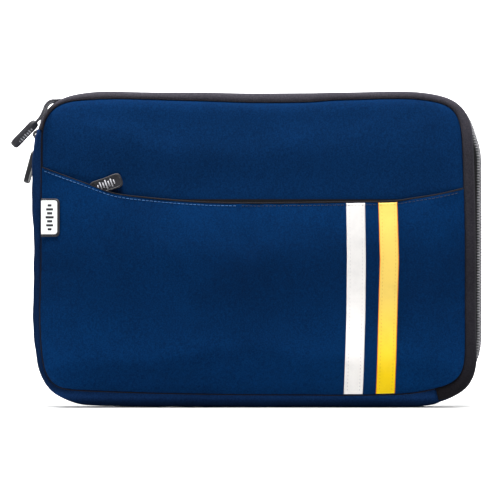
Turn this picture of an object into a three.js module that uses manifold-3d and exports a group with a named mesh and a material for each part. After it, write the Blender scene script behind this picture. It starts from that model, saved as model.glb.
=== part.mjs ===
// Soft neoprene laptop sleeve with a two-slider zip over its top and right side and a zipped front pocket.
// Millimetres. +X is to the right seen from the front, +Z is up, the front faces -Y.
// The origin is the middle of the flat underside that the sleeve stands on.
import * as THREE from "three";
import { mergeVertices } from "three/addons/utils/BufferGeometryUtils.js";
import Module from "manifold-3d";

const wasm = await Module();
wasm.setup();

// ---------------------------------------------------------------- driving dimensions
const FACE = { x0: -161.5, x1: 157.5, z0: 10.5, z1: 230, r: 27 }; // outline of the front and back panels
const FRONT_Y = -12; // outer face of the front panel
const BACK_Y = 12; // outer face of the back panel
const SHELL = 3; // neoprene panel
const LINING = 0.8;
const GUSSET = 2.4; // neoprene of the gusset
const CHAIN_Y = -1; // middle of the zip chain across the sleeve's thickness
const CHAIN = { x0: -134.8, zTop: 232.6, rTL: 25.6, x1: 120.4, rTR: 46, xRight: 166.4, zEnd: 52 };
const COIL = { half: 3.4, gap: 0.5, thick: 1.8 };
const TAPE = 0.7;
const SLIDER = { length: 13, width: 9.5, plate: 1, slot: 1.4, bridge: 2.4 };
const FOLD = { left: [-161.9, 202.3], right: [158.2, 179] }; // line that the top flap bends about
const FOLD_GAP = 0.35;
const POCKET = { inner: -19.1, outer: -20.7, wall: 2 };
const LIP = [
  [-161.5, 181.7], [-147.6, 176.4], [-125.7, 168.5], [-108.4, 162.1], [-79.7, 158.3], [-42, 155.3],
  [-4.3, 154.6], [68, 155.3], [106.5, 156.1], [117, 157.6], [139.7, 161.4], [157.5, 165.6],
];
const POCKET_ZIP = { x0: -147, x1: 143, z: 150.8, y: -14.1 };
const STRIPE = { white: [68.2, 83.4], yellow: [92.4, 107.6], thick: 0.5 };
const CORNER = new THREE.Vector2(CHAIN.x0, CHAIN.zTop - CHAIN.rTL); // centre of the chain's top left bend

// ---------------------------------------------------------------- materials
const mat = (color, roughness, metalness = 0) => new THREE.MeshStandardMaterial({ color, roughness, metalness });
const NAVY = mat(0x0b2f5e, 0.85);
const LININGM = mat(0x1b1c20, 0.9);
const CHARCOAL = mat(0x35343a, 0.7);
const TAPEM = mat(0x1e1e21, 0.8);
const COILM = mat(0x3a3a3e, 0.45);
const METAL = mat(0x2a2a2d, 0.35, 0.9);
const RUBBER = mat(0x2b2b2f, 0.6);
const CORDM = mat(0x2c2c30, 0.8);
const WHITE = mat(0xf2f1f0, 0.45);
const YELLOW = mat(0xffd23a, 0.4);

// ---------------------------------------------------------------- geometry helpers
const part = new THREE.Group();
function add(name, geometry, material) {
  const mesh = new THREE.Mesh(geometry, material);
  mesh.name = name;
  part.add(mesh);
  return mesh;
}

// A closed solid whose skin runs through a row of rings, each a list of points in the same order.
function skin(rings, closed = false) {
  const n = rings[0].length, m = rings.length, pos = [], index = [];
  for (const ring of rings) for (const p of ring) pos.push(p.x, p.y, p.z);
  for (let i = 0; i < (closed ? m : m - 1); i++) {
    const a = i * n, b = ((i + 1) % m) * n;
    for (let j = 0; j < n; j++) {
      const k = (j + 1) % n;
      index.push(a + j, a + k, b + j, a + k, b + k, b + j);
    }
  }
  if (!closed)
    for (const end of [0, m - 1]) {
      const ring = rings[end], c = new THREE.Vector3();
      ring.forEach((p) => c.addScaledVector(p, 1 / n));
      const normal = new THREE.Vector3();
      for (let j = 0; j < n; j++)
        normal.add(new THREE.Vector3().crossVectors(ring[j].clone().sub(c), ring[(j + 1) % n].clone().sub(c)));
      normal.normalize();
      const u = ring[0].clone().sub(c).projectOnPlane(normal).normalize();
      const v = new THREE.Vector3().crossVectors(normal, u);
      const flat = ring.map((p) => new THREE.Vector2(p.clone().sub(c).dot(u), p.clone().sub(c).dot(v)));
      for (const t of THREE.ShapeUtils.triangulateShape(flat, [])) {
        const f = t.map((j) => end * n + j);
        index.push(...(end === 0 ? [f[0], f[2], f[1]] : f));
      }
    }
  let g = new THREE.BufferGeometry();
  g.setAttribute("position", new THREE.Float32BufferAttribute(pos, 3));
  g.setIndex(index);
  return outward(g);
}

function volume(g) {
  const p = g.getAttribute("position"), ix = g.index.array;
  let v = 0;
  const a = new THREE.Vector3(), b = new THREE.Vector3(), c = new THREE.Vector3();
  for (let i = 0; i < ix.length; i += 3) {
    a.fromBufferAttribute(p, ix[i]); b.fromBufferAttribute(p, ix[i + 1]); c.fromBufferAttribute(p, ix[i + 2]);
    v += a.dot(b.cross(c)) / 6;
  }
  return v;
}
function outward(g) {
  if (volume(g) < 0) {
    const ix = g.index.array;
    for (let i = 0; i < ix.length; i += 3) [ix[i + 1], ix[i + 2]] = [ix[i + 2], ix[i + 1]];
  }
  return g;
}
function plain(g) {
  const h = g.clone();
  for (const name of Object.keys(h.attributes)) if (name !== "position") h.deleteAttribute(name);
  return mergeVertices(h, 1e-4);
}
function solid(g) {
  const h = plain(g);
  return new wasm.Manifold(new wasm.Mesh({
    numProp: 3, vertProperties: new Float32Array(h.getAttribute("position").array), triVerts: new Uint32Array(h.index.array),
  }));
}
function geometry(s) {
  const m = s.getMesh(), g = new THREE.BufferGeometry();
  g.setAttribute("position", new THREE.Float32BufferAttribute(m.vertProperties, 3));
  g.setIndex(new THREE.BufferAttribute(m.triVerts, 1));
  return g;
}

// A flat piece: a shape in the X-Z plane with its thickness along Y from y0 to y1.
function slab(shape, y0, y1, curveSegments = 10) {
  const g = new THREE.ExtrudeGeometry(shape, { depth: y1 - y0, bevelEnabled: false, curveSegments });
  g.rotateX(Math.PI / 2);
  g.translate(0, y1, 0);
  return g;
}
function block(x0, x1, y0, y1, z0, z1) {
  const g = new THREE.BoxGeometry(x1 - x0, y1 - y0, z1 - z0);
  g.translate((x0 + x1) / 2, (y0 + y1) / 2, (z0 + z1) / 2);
  return g;
}
function roundRect(x0, x1, z0, z1, r) {
  const s = new THREE.Shape();
  s.moveTo(x0 + r, z0);
  s.lineTo(x1 - r, z0); s.absarc(x1 - r, z0 + r, r, -Math.PI / 2, 0);
  s.lineTo(x1, z1 - r); s.absarc(x1 - r, z1 - r, r, 0, Math.PI / 2);
  s.lineTo(x0 + r, z1); s.absarc(x0 + r, z1 - r, r, Math.PI / 2, Math.PI);
  s.lineTo(x0, z0 + r); s.absarc(x0 + r, z0 + r, r, Math.PI, 1.5 * Math.PI);
  return s;
}
const face = (inset) => roundRect(FACE.x0 + inset, FACE.x1 - inset, FACE.z0 + inset, FACE.z1 - inset, FACE.r - inset);

// A round tube along points, closed into a ring if asked.
function tube(points, radius, sides = 8, steps = 12, closed = false) {
  const curve = new THREE.CatmullRomCurve3(points.map((p) => new THREE.Vector3(...p)), closed, "centripetal");
  const f = curve.computeFrenetFrames(steps, closed), rings = [];
  for (let i = 0; i < (closed ? steps : steps + 1); i++) {
    const c = curve.getPointAt(i / steps), ring = [];
    for (let j = 0; j < sides; j++) {
      const a = (2 * Math.PI * j) / sides;
      ring.push(c.clone().addScaledVector(f.normals[i], radius * Math.cos(a)).addScaledVector(f.binormals[i], radius * Math.sin(a)));
    }
    rings.push(ring);
  }
  return skin(rings, closed);
}

// ---------------------------------------------------------------- outlines, walked clockwise seen from the front
// Stations of the zip side: top left bend, top, top right bend, right side, bottom right bend.
// Each station gives a point on the face outline F with its outward normal, and a point on the chain C with its own.
function arc(cx, cz, rx, rz, a) {
  const p = new THREE.Vector2(cx + rx * Math.cos(a), cz + rz * Math.sin(a));
  const n = new THREE.Vector2(Math.cos(a) / rx, Math.sin(a) / rz).normalize();
  return { p, n };
}
const deg = Math.PI / 180;
const fx0 = FACE.x0 + FACE.r, fx1 = FACE.x1 - FACE.r, fz0 = FACE.z0 + FACE.r, fz1 = FACE.z1 - FACE.r;
const zipStations = [];
const bend = 9;
for (let i = 0; i <= bend; i++) {
  const a = (180 - (90 * i) / bend) * deg;
  zipStations.push({ f: arc(fx0, fz1, FACE.r, FACE.r, a), c: arc(CORNER.x, CORNER.y, CHAIN.rTL, CHAIN.rTL, a), t: i / bend, side: "tl" });
}
for (let i = 1; i <= 6; i++) {
  const k = i / 6;
  zipStations.push({
    f: { p: new THREE.Vector2(fx0 + (fx1 - fx0) * k, FACE.z1), n: new THREE.Vector2(0, 1) },
    c: { p: new THREE.Vector2(CHAIN.x0 + (CHAIN.x1 - CHAIN.x0) * k, CHAIN.zTop), n: new THREE.Vector2(0, 1) }, t: k, side: "top",
  });
}
for (let i = 1; i <= bend; i++) {
  const a = (90 - (90 * i) / bend) * deg;
  zipStations.push({ f: arc(fx1, fz1, FACE.r, FACE.r, a), c: arc(CHAIN.x1, CHAIN.zTop - CHAIN.rTR, CHAIN.rTR, CHAIN.rTR, a), t: i / bend, side: "tr" });
}
for (let i = 1; i <= 5; i++) {
  const k = i / 5;
  zipStations.push({
    f: { p: new THREE.Vector2(FACE.x1, fz1 + (fz0 - fz1) * k), n: new THREE.Vector2(1, 0) },
    c: { p: new THREE.Vector2(CHAIN.xRight, CHAIN.zTop - CHAIN.rTR + (CHAIN.zEnd - CHAIN.zTop + CHAIN.rTR) * k), n: new THREE.Vector2(1, 0) }, t: k, side: "right",
  });
}
for (let i = 1; i <= 7; i++) {
  const k = i / 7;
  zipStations.push({ f: arc(fx1, fz0, FACE.r, FACE.r, -74 * k * deg), c: arc(126, CHAIN.zEnd, CHAIN.xRight - 126, 44, -66 * k * deg), t: k, side: "br" });
}
const at = (o, n, y) => new THREE.Vector3(o.p.x + o.n.x * n, y, o.p.y + o.n.y * n);

// How far the rolled trim next to the front panel stands out of the face outline.
function trimWidth(s) {
  if (s.side === "tl") return 2 + 3.6 * Math.pow(s.t, 2.2);
  if (s.side === "top") return Math.min(7.4, 5.6 + 12 * s.t);
  return 7.4;
}
// Front trim, rolled: an oval section from the panel's edge.
const trimRing = (s) => {
  const w = trimWidth(s), y0 = -11.6, y1 = -6.3;
  return [
    at(s.f, 0.35, y0 + 0.9), at(s.f, 0.35 + w * 0.25, y0 + 0.1), at(s.f, 0.35 + w * 0.7, y0 + 0.5), at(s.f, w, y0 + 2),
    at(s.f, w, y1 - 1.4), at(s.f, 0.35 + w * 0.7, y1), at(s.f, 0.35, y1),
  ];
};
// Zip tape from under the trim to the coil, and its twin behind the chain.
const tapeRing = (s, y0, y1, n0) => {
  const a = at(s.c, -TAPE / 2, y1), b = at(s.c, TAPE / 2, y1);
  const far = n0 === undefined ? s.c : null;
  return far ? [at(s.c, -TAPE / 2, y0), at(s.c, TAPE / 2, y0), b, a] : [at(s.c, -TAPE / 2 + n0, y0), at(s.c, TAPE / 2 + n0, y0), b, a];
};
const coilRing = (s, y0, y1) => {
  const h = COIL.thick / 2;
  return [at(s.c, -h, y0), at(s.c, h, y0), at(s.c, h, y1), at(s.c, -h, y1)];
};
const strip = (ringOf, from = 0, to = zipStations.length) => skin(zipStations.slice(from, to).map(ringOf));

// The half space above the fold line, moved up by gap, as a big slab turned along the line.
const fl = new THREE.Vector2(...FOLD.left), fr = new THREE.Vector2(...FOLD.right);
const along = fr.clone().sub(fl).normalize(), up = new THREE.Vector2(-along.y, along.x);
function foldSide(above) {
  const s = new THREE.Shape(), g = above ? FOLD_GAP / 2 : -FOLD_GAP / 2, h = above ? 400 : -400;
  const q = (u, v) => fl.clone().addScaledVector(along, u).addScaledVector(up, v);
  s.setFromPoints([q(-200, g), q(600, g), q(600, h), q(-200, h)]);
  return solid(slab(s, -60, 60));
}
const ABOVE = foldSide(true), BELOW = foldSide(false);
function split(name, g, material) {
  const whole = solid(g);
  add(name + "_flap", geometry(whole.intersect(ABOVE)), material);
  add(name + "_lower", geometry(whole.intersect(BELOW)), material);
}

// ---------------------------------------------------------------- front and back
split("front_panel", slab(face(0), FRONT_Y, FRONT_Y + SHELL), NAVY);
split("front_lining", slab(face(1), FRONT_Y + SHELL + 0.2, FRONT_Y + SHELL + 0.2 + LINING), LININGM);
add("back_panel", slab(face(0), BACK_Y - SHELL, BACK_Y), NAVY);
add("back_lining", slab(face(1), BACK_Y - SHELL - 0.2 - LINING, BACK_Y - SHELL - 0.2), LININGM);

// ---------------------------------------------------------------- left and bottom gusset
// Walked from the zip's lower right end along the bottom and up the left side to the zip's upper left end.
const gussetStations = [];
for (let i = 0; i <= 3; i++) gussetStations.push({ f: arc(fx1, fz0, FACE.r, FACE.r, (-75.5 - (14.5 * i) / 3) * deg), b: 9.4 + 1.1 * (i / 3) });
for (let i = 1; i <= 5; i++) gussetStations.push({ f: { p: new THREE.Vector2(fx1 + (fx0 - fx1) * (i / 5), FACE.z0), n: new THREE.Vector2(0, -1) }, b: 10.5 });
for (let i = 1; i <= 9; i++) gussetStations.push({ f: arc(fx0, fz0, FACE.r, FACE.r, (-90 - (90 * i) / 9) * deg), b: 10.5 - 2.8 * (i / 9) });
for (const [z, b] of [[90, 7.4], [140, 7.9], [165, 8.4], [182, 7.6], [194, 5.4], [200.8, 3.8]])
  gussetStations.push({ f: { p: new THREE.Vector2(FACE.x0, z), n: new THREE.Vector2(-1, 0) }, b });
const gussetRing = (s, inset, thick, flatEdge) => {
  // A bulged band across the thickness, flat for its middle 11 mm so that it can stand on it.
  const b = s.b - inset, e = flatEdge;
  const out = [[0.4, -e], [b * 0.62, -e + 0.6], [b * 0.93, -e + 2.4], [b, -5.6], [b, 5.6], [b * 0.93, e - 2.4], [b * 0.62, e - 0.6], [0.4, e]];
  const inn = [[0.4, e - thick], [Math.max(0.6, b * 0.62 - thick * 0.7), e - thick - 0.5], [Math.max(0.8, b - thick), 4.4], [Math.max(0.8, b - thick), -4.4],
    [Math.max(0.6, b * 0.62 - thick * 0.7), -e + thick + 0.5], [0.4, -e + thick]];
  return [...out, ...inn].map(([n, y]) => at(s.f, n, y));
};
add("side_gusset", skin(gussetStations.map((s) => gussetRing(s, 0, GUSSET, 11.6))), NAVY);

// ---------------------------------------------------------------- zip over the top and down the right side
const c0 = CHAIN_Y;
split("front_trim", strip(trimRing), CHARCOAL);
add("back_coil", strip((s) => coilRing(s, c0 + COIL.gap, c0 + COIL.half)), COILM);
add("back_zip_tape", strip((s) => tapeRing(s, c0 + COIL.half + 0.15, 5)), TAPEM);
// Navy strip between the back tape and the back panel.
add("zip_back_gusset", strip((s) => {
  const lean = s.c.p.clone().sub(s.f.p).dot(s.f.n);
  const peak = Math.max(lean + 0.6, trimWidth(s) * 0.75);
  const n0 = lean - 0.5;
  return [at(s.f, n0, 5.3), at(s.f, n0 + 1.7, 5.3), at(s.f, Math.max(peak, n0 + 2), 7.6), at(s.f, Math.max(peak * 0.6, 1.4), 10.6), at(s.f, 0.4, 11.5),
    at(s.f, 0.4, 9.3), at(s.f, Math.max(peak * 0.45, 0.7), 8.6)];
}), NAVY);

// The flap's half of the zip is relieved where the two sliders park, so that it can leave them.
const SA = { x: -129.5 }, SB = { a: 155 * deg };
const relief = [
  solid(block(SA.x - SLIDER.length / 2 - 0.8, SA.x + SLIDER.length / 2 + 0.8, c0 - 5.6, c0 + 0.3, CHAIN.zTop - 4, CHAIN.zTop + 8)),
];
{
  const rings = [];
  for (let i = 0; i <= 8; i++) {
    const a = SB.a + (19 - (60 * i) / 8) * deg, r0 = CHAIN.rTL - 4.2, r1 = CHAIN.rTL + 8;
    const q = (r, y) => new THREE.Vector3(CORNER.x + r * Math.cos(a), y, CORNER.y + r * Math.sin(a));
    rings.push([q(r0, c0 - 5.6), q(r1, c0 - 5.6), q(r1, c0 + 0.3), q(r0, c0 + 0.3)]);
  }
  relief.push(solid(skin(rings)));
}
function splitZip(name, g, material) {
  const whole = solid(g);
  let flap = whole.intersect(ABOVE);
  for (const r of relief) flap = flap.subtract(r);
  const keep = flap.decompose().sort((a, b) => b.volume() - a.volume())[0];
  add(name + "_flap", geometry(keep), material);
  add(name + "_lower", geometry(whole.intersect(BELOW).decompose().sort((a, b) => b.volume() - a.volume())[0]), material);
}
splitZip("front_coil", strip((s) => coilRing(s, c0 - COIL.half, c0 - COIL.gap)), COILM);
splitZip("front_zip_tape", strip((s) => tapeRing(s, -6.1, c0 - COIL.half - 0.15)), TAPEM);

// ---------------------------------------------------------------- zip sliders
// Built at the origin: travel along X, outwards +Z, across Y. The post runs in the gap between the coils.
function sliderGeometry(k = 1, postGap = COIL.gap) {
  const L = SLIDER.length / 2, W = SLIDER.width / 2, plate = new THREE.Shape();
  plate.moveTo(-L, -W * 0.62); plate.lineTo(-L * 0.2, -W * 0.72); plate.lineTo(L * 0.45, -W); plate.quadraticCurveTo(L, -W, L, -W * 0.5);
  plate.lineTo(L, W * 0.5); plate.quadraticCurveTo(L, W, L * 0.45, W); plate.lineTo(-L * 0.2, W * 0.72); plate.lineTo(-L, W * 0.62); plate.closePath();
  const wing = (z) => {
    const g = new THREE.ExtrudeGeometry(plate, { depth: SLIDER.plate, bevelEnabled: false, curveSegments: 5 });
    g.translate(0, 0, z);
    return solid(g);
  };
  let s = wing(SLIDER.slot).add(wing(-SLIDER.slot - SLIDER.plate));
  s = s.add(solid(block(L * 0.2, L * 0.9, -(postGap - 0.2), postGap - 0.2, -SLIDER.slot - 0.2, SLIDER.slot + 0.2)));
  const arch = new THREE.Shape(); // bridge that the pull hangs from, in X-Z
  const z0 = SLIDER.slot + SLIDER.plate - 0.1, zt = z0 + SLIDER.bridge + 0.1;
  arch.moveTo(-4.6, z0); arch.lineTo(4.6, z0); arch.quadraticCurveTo(4.6, zt, 2.2, zt); arch.lineTo(-2.2, zt); arch.quadraticCurveTo(-4.6, zt, -4.6, z0);
  const hole = new THREE.Path();
  hole.moveTo(-3.0, z0 + 0.4); hole.lineTo(-3.0, z0 + 1.5); hole.lineTo(-2.2, z0 + 1.8); hole.lineTo(0.6, z0 + 1.8); hole.lineTo(0.6, z0 + 0.4); hole.closePath();
  arch.holes.push(hole);
  s = s.add(solid(slab(arch, -1.1, 1.1, 5)));
  const g = geometry(s);
  g.scale(k, k, k);
  return g;
}
// Curves a slider made straight along X so that it follows a bend of the given radius.
function curved(g, radius) {
  const p = g.getAttribute("position");
  for (let i = 0; i < p.count; i++) {
    const a = p.getX(i) / radius, r = radius + p.getZ(i);
    p.setXYZ(i, r * Math.sin(a), p.getY(i), r * Math.cos(a) - radius);
  }
  return g;
}
const BRIDGE_X = -1.6, BRIDGE_Z = SLIDER.slot + SLIDER.plate + 0.95; // pull wire's axis in the slider's own frame
add("top_zip_slider", sliderGeometry().applyMatrix4(new THREE.Matrix4().makeTranslation(SA.x, c0, CHAIN.zTop)), METAL);
// Slider on the bend: turned so that its travel follows the bend and its open end looks away from the zip's end.
const onBend = (g) => {
  const turn = new THREE.Matrix4().makeRotationY(-(SB.a - Math.PI / 2));
  const r = new THREE.Vector3(CORNER.x + CHAIN.rTL * Math.cos(SB.a), c0, CORNER.y + CHAIN.rTL * Math.sin(SB.a));
  return g.applyMatrix4(turn).applyMatrix4(new THREE.Matrix4().makeTranslation(r.x, r.y, r.z));
};
add("corner_zip_slider", onBend(curved(sliderGeometry(), CHAIN.rTL)), METAL);

// Wire loop of a pull: a rounded ring from its pin at the origin along -X, lying in X-Y.
function bail(length, half, r, k = 1) {
  const pts = [[0, -half + 1.1, 0], [0, 0, 0], [0, half - 1.1, 0], [-0.9, half, 0], [-length / 2, half, 0], [-length + 0.9, half, 0], [-length, half - 1.1, 0],
    [-length, 0, 0], [-length, -half + 1.1, 0], [-length + 0.9, -half, 0], [-length / 2, -half, 0], [-0.9, -half, 0]];
  return tube(pts, r, 6, 36, true).scale(k, k, k);
}
const place = (g, angle, x, y, z) => g.applyMatrix4(new THREE.Matrix4().makeRotationY(angle)).applyMatrix4(new THREE.Matrix4().makeTranslation(x, y, z));
const BAIL = { length: 8.5, half: 4.2, r: 0.55 };
const pinA = new THREE.Vector3(SA.x + BRIDGE_X, c0, CHAIN.zTop + BRIDGE_Z);
const tiltA = 12 * deg; // lies to the left, its end a little low
add("top_pull_wire", place(bail(BAIL.length, BAIL.half, BAIL.r), -tiltA, pinA.x, pinA.y, pinA.z), METAL);
const endA = new THREE.Vector3(pinA.x - BAIL.length * Math.cos(tiltA), c0, pinA.z - BAIL.length * Math.sin(tiltA));

// Rubber pull tab: a thick tongue with round ends, from its cord end at the origin along -X, lying in X-Y.
function tab(length, width, thick) {
  const s = new THREE.Shape(), w = width / 2, r = w * 0.62;
  s.moveTo(0, -w * 0.55); s.quadraticCurveTo(0, -w, -2.2, -w); s.lineTo(-length + r, -w); s.quadraticCurveTo(-length, -w, -length, -w + r);
  s.lineTo(-length, w - r); s.quadraticCurveTo(-length, w, -length + r, w); s.lineTo(-2.2, w); s.quadraticCurveTo(0, w, 0, w * 0.55); s.closePath();
  const b = 0.9;
  const g = new THREE.ExtrudeGeometry(s, { depth: thick - 2 * b, bevelEnabled: true, bevelThickness: b, bevelSize: b, bevelOffset: -b, bevelSegments: 2, curveSegments: 5 });
  g.translate(0, 0, -thick / 2 + b);
  return g;
}
const TAB = { length: 25, width: 10.5, thick: 3.4 };
const topTab = { x: -165.5, y: -18.6, z: 215.4, angle: 46.2 * deg, roll: -18 * deg };
add("top_pull_tab", place(plain(tab(TAB.length, TAB.width, TAB.thick)).rotateX(topTab.roll), -topTab.angle, topTab.x, topTab.y, topTab.z), RUBBER);
add("top_pull_cord", tube([[endA.x - 1.7, c0 - 0.4, endA.z - 0.5], [-146, -3, 232.4], [-151, -7.6, 231.7], [-154.6, -12, 231.2], [-157.4, -15.4, 228.6], [-159.4, -17.6, 223.6],
  [-161.8, -18.5, 219.2], [topTab.x + 0.45, topTab.y, topTab.z + 0.45]], 0.95, 8, 26), CORDM);

const bend2 = SB.a - Math.PI / 2; // turn of the slider on the bend
const pinB = new THREE.Vector3(
  CORNER.x + (CHAIN.rTL + BRIDGE_Z) * Math.cos(SB.a) + BRIDGE_X * Math.cos(bend2), c0,
  CORNER.y + (CHAIN.rTL + BRIDGE_Z) * Math.sin(SB.a) + BRIDGE_X * Math.sin(bend2));
const lieB = 68 * deg; // wire hangs down beside the bend
add("corner_pull_wire", place(bail(6.6, BAIL.half, BAIL.r), -lieB, pinB.x, pinB.y, pinB.z), METAL);
const endB = new THREE.Vector3(pinB.x - 6.6 * Math.cos(lieB), c0, pinB.z - 6.6 * Math.sin(lieB));
const cornerTab = { x: -169.2, y: 17.8, z: 194.4, angle: 75 * deg, roll: -8 * deg };
add("corner_pull_tab", place(plain(tab(TAB.length, 9.6, TAB.thick)).rotateX(cornerTab.roll), -cornerTab.angle, cornerTab.x, cornerTab.y, cornerTab.z), RUBBER);
add("corner_pull_cord", tube([[endB.x - 0.7, c0 + 0.3, endB.z - 1.6], [-168, 4, 208.6], [-169.2, 9.5, 207.2], [-168.2, 14.6, 205], [-167.8, 17.5, 201], [-168.9, 17.8, 197], [cornerTab.x - 0.1, cornerTab.y - 0.2, cornerTab.z + 0.8]], 0.95, 8, 10), CORDM);

// ---------------------------------------------------------------- front pocket
const lipCurve = new THREE.SplineCurve(LIP.map((p) => new THREE.Vector2(...p)));
function underLip(x0, x1, z0, rise) {
  const pts = lipCurve.getPoints(44).map((p) => new THREE.Vector2(p.x, p.y + rise));
  pts[0].x = x0; pts[pts.length - 1].x = x1;
  const s = new THREE.Shape();
  s.setFromPoints([new THREE.Vector2(x0, z0), new THREE.Vector2(x1, z0), ...pts.reverse()]);
  return solid(slab(s, -40, 0));
}
{
  const below = underLip(FACE.x0 - 20, FACE.x1 + 20, -20, -1.3);
  const outer = solid(slab(face(0.2), POCKET.outer, FRONT_Y - 0.2)).intersect(below);
  const inner = solid(slab(face(0.2 + POCKET.wall), POCKET.inner, FRONT_Y + 1));
  add("pocket_panel", geometry(outer.subtract(inner)), NAVY);
}
// Binding folded over the pocket's lip.
add("pocket_lip_binding", skin(lipCurve.getPoints(40).map((p, i) => {
  const q = new THREE.Vector2(Math.min(FACE.x1 - 0.4, Math.max(FACE.x0 + 0.4, p.x)), p.y);
  return [[POCKET.outer, -1], [POCKET.outer - 0.1, 0.4], [POCKET.outer + 0.8, 1], [POCKET.inner, 0.4], [POCKET.inner, -1]].map(([y, z]) => new THREE.Vector3(q.x, y, q.y + z));
})), TAPEM);
const PZ = POCKET_ZIP;
add("pocket_coil_upper", block(PZ.x0, PZ.x1, PZ.y - 0.7, PZ.y + 0.7, PZ.z + 0.5, PZ.z + 2.5), COILM);
add("pocket_coil_lower", block(PZ.x0, PZ.x1, PZ.y - 0.7, PZ.y + 0.7, PZ.z - 2.5, PZ.z - 0.5), COILM);
add("pocket_zip_tape_upper", block(PZ.x0, PZ.x1, PZ.y - 0.3, PZ.y + 0.3, PZ.z + 2.65, PZ.z + 6.6), TAPEM);
add("pocket_zip_tape_lower", block(PZ.x0, PZ.x1, PZ.y - 0.3, PZ.y + 0.3, PZ.z - 9, PZ.z - 2.65), TAPEM);
// Pocket slider: outwards is -Y here, so it is turned and a little smaller.
const POCKET_SLIDER_X = -124, PK = 0.72;
const frontwards = new THREE.Matrix4().makeRotationX(Math.PI / 2);
add("pocket_zip_slider", sliderGeometry(PK, 0.52).applyMatrix4(frontwards).applyMatrix4(new THREE.Matrix4().makeTranslation(POCKET_SLIDER_X, PZ.y, PZ.z)), METAL);
const pinP = new THREE.Vector3(POCKET_SLIDER_X + BRIDGE_X * PK, PZ.y - BRIDGE_Z * PK, PZ.z);
add("pocket_pull_wire", bail(BAIL.length, BAIL.half, BAIL.r, PK).applyMatrix4(frontwards).applyMatrix4(new THREE.Matrix4().makeTranslation(pinP.x, pinP.y, pinP.z)), METAL);
const pocketTab = { x: -124.4, y: -15.7, z: 164.2, angle: 20 * deg };
{
  const g = plain(tab(TAB.length, 11, TAB.thick));
  g.applyMatrix4(new THREE.Matrix4().makeRotationZ(Math.PI)).applyMatrix4(frontwards).applyMatrix4(new THREE.Matrix4().makeRotationY(-pocketTab.angle));
  g.translate(pocketTab.x, pocketTab.y, pocketTab.z);
  add("pocket_pull_tab", g, RUBBER);
}
const endP = pinP.x - BAIL.length * PK;
add("pocket_pull_cord", tube([[endP - 1.3, pinP.y, PZ.z + 0.2], [endP - 2.6, pinP.y + 0.3, PZ.z + 3.2], [endP - 1.6, -16, PZ.z + 9], [pocketTab.x - 0.6, pocketTab.y, pocketTab.z - 0.25]], 0.85, 8, 12), CORDM);

// ---------------------------------------------------------------- appliqué stripes and side label
function stripe(name, [x0, x1], material) {
  const g = solid(slab(new THREE.Shape([new THREE.Vector2(x0, 11.2), new THREE.Vector2(x1, 11.2), new THREE.Vector2(x1, 170), new THREE.Vector2(x0, 170)]),
    POCKET.outer - 0.15 - STRIPE.thick, POCKET.outer - 0.15));
  add(name, geometry(g.intersect(underLip(FACE.x0 - 20, FACE.x1 + 20, 0, -0.6))), material);
}
stripe("white_stripe", STRIPE.white, WHITE);
stripe("yellow_stripe", STRIPE.yellow, YELLOW);
{
  const outline = (x0, x1, z0, z1, r) => {
    const s = new THREE.Shape();
    s.moveTo(x0, z0); s.lineTo(x1 - r, z0); s.absarc(x1 - r, z0 + r, r, -Math.PI / 2, 0); s.lineTo(x1, z1 - r); s.absarc(x1 - r, z1 - r, r, 0, Math.PI / 2); s.lineTo(x0, z1); s.closePath();
    return s;
  };
  add("side_label_frame", slab(outline(-161.2, -146.6, 129.2, 157.6, 3.4), POCKET.outer - 1.2, POCKET.outer - 0.15), RUBBER);
  add("side_label_insert", slab(outline(-161, -148.8, 131.2, 155.6, 1.8), POCKET.outer - 1.75, POCKET.outer - 1.3), WHITE);
}

export default part;
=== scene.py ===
import math

import bmesh
import bpy
import numpy as np
from mathutils import Matrix, Vector
from mathutils.bvhtree import BVHTree


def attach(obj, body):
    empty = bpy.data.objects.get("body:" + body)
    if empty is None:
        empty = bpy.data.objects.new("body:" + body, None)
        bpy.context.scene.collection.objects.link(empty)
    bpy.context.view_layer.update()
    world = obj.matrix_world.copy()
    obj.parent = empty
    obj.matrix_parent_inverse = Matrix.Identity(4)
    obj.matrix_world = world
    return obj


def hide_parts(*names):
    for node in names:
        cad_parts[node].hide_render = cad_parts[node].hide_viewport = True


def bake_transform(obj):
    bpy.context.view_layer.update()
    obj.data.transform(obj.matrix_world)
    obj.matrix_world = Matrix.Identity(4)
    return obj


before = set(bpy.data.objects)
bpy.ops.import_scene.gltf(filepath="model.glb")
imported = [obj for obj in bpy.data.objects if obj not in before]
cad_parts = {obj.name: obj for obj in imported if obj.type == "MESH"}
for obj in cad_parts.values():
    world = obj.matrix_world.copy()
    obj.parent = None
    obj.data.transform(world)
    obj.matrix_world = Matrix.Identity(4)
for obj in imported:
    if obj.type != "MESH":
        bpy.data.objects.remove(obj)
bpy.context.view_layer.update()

scene = bpy.context.scene
RNG = np.random.default_rng(7)

# ------------------------------------------------------------------ camera first
VIEW_MM = 377.0  # width that the picture takes in at the front panel
CAM_DIST = 2.1
cam_data = bpy.data.cameras.new("camera")
cam_data.lens = 36 * (CAM_DIST - 0.016) / (VIEW_MM / 1000)
cam_data.clip_end = 60
cam = bpy.data.objects.new("camera", cam_data)
scene.collection.objects.link(cam)
CAM_EL = math.radians(0.0)
AIM = Vector((-0.0043, 0.0, 0.1191))
cam.location = AIM + Vector((0, -CAM_DIST * math.cos(CAM_EL), CAM_DIST * math.sin(CAM_EL)))
cam.rotation_euler = (math.pi / 2 - CAM_EL, 0, 0)
scene.camera = cam


# ------------------------------------------------------------------ curves, in millimetres, X and Z as the CAD has them
def px(points):
    return [((x - 255.75) * 0.754, (408 - y) * 0.754) for x, y in points]


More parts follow.
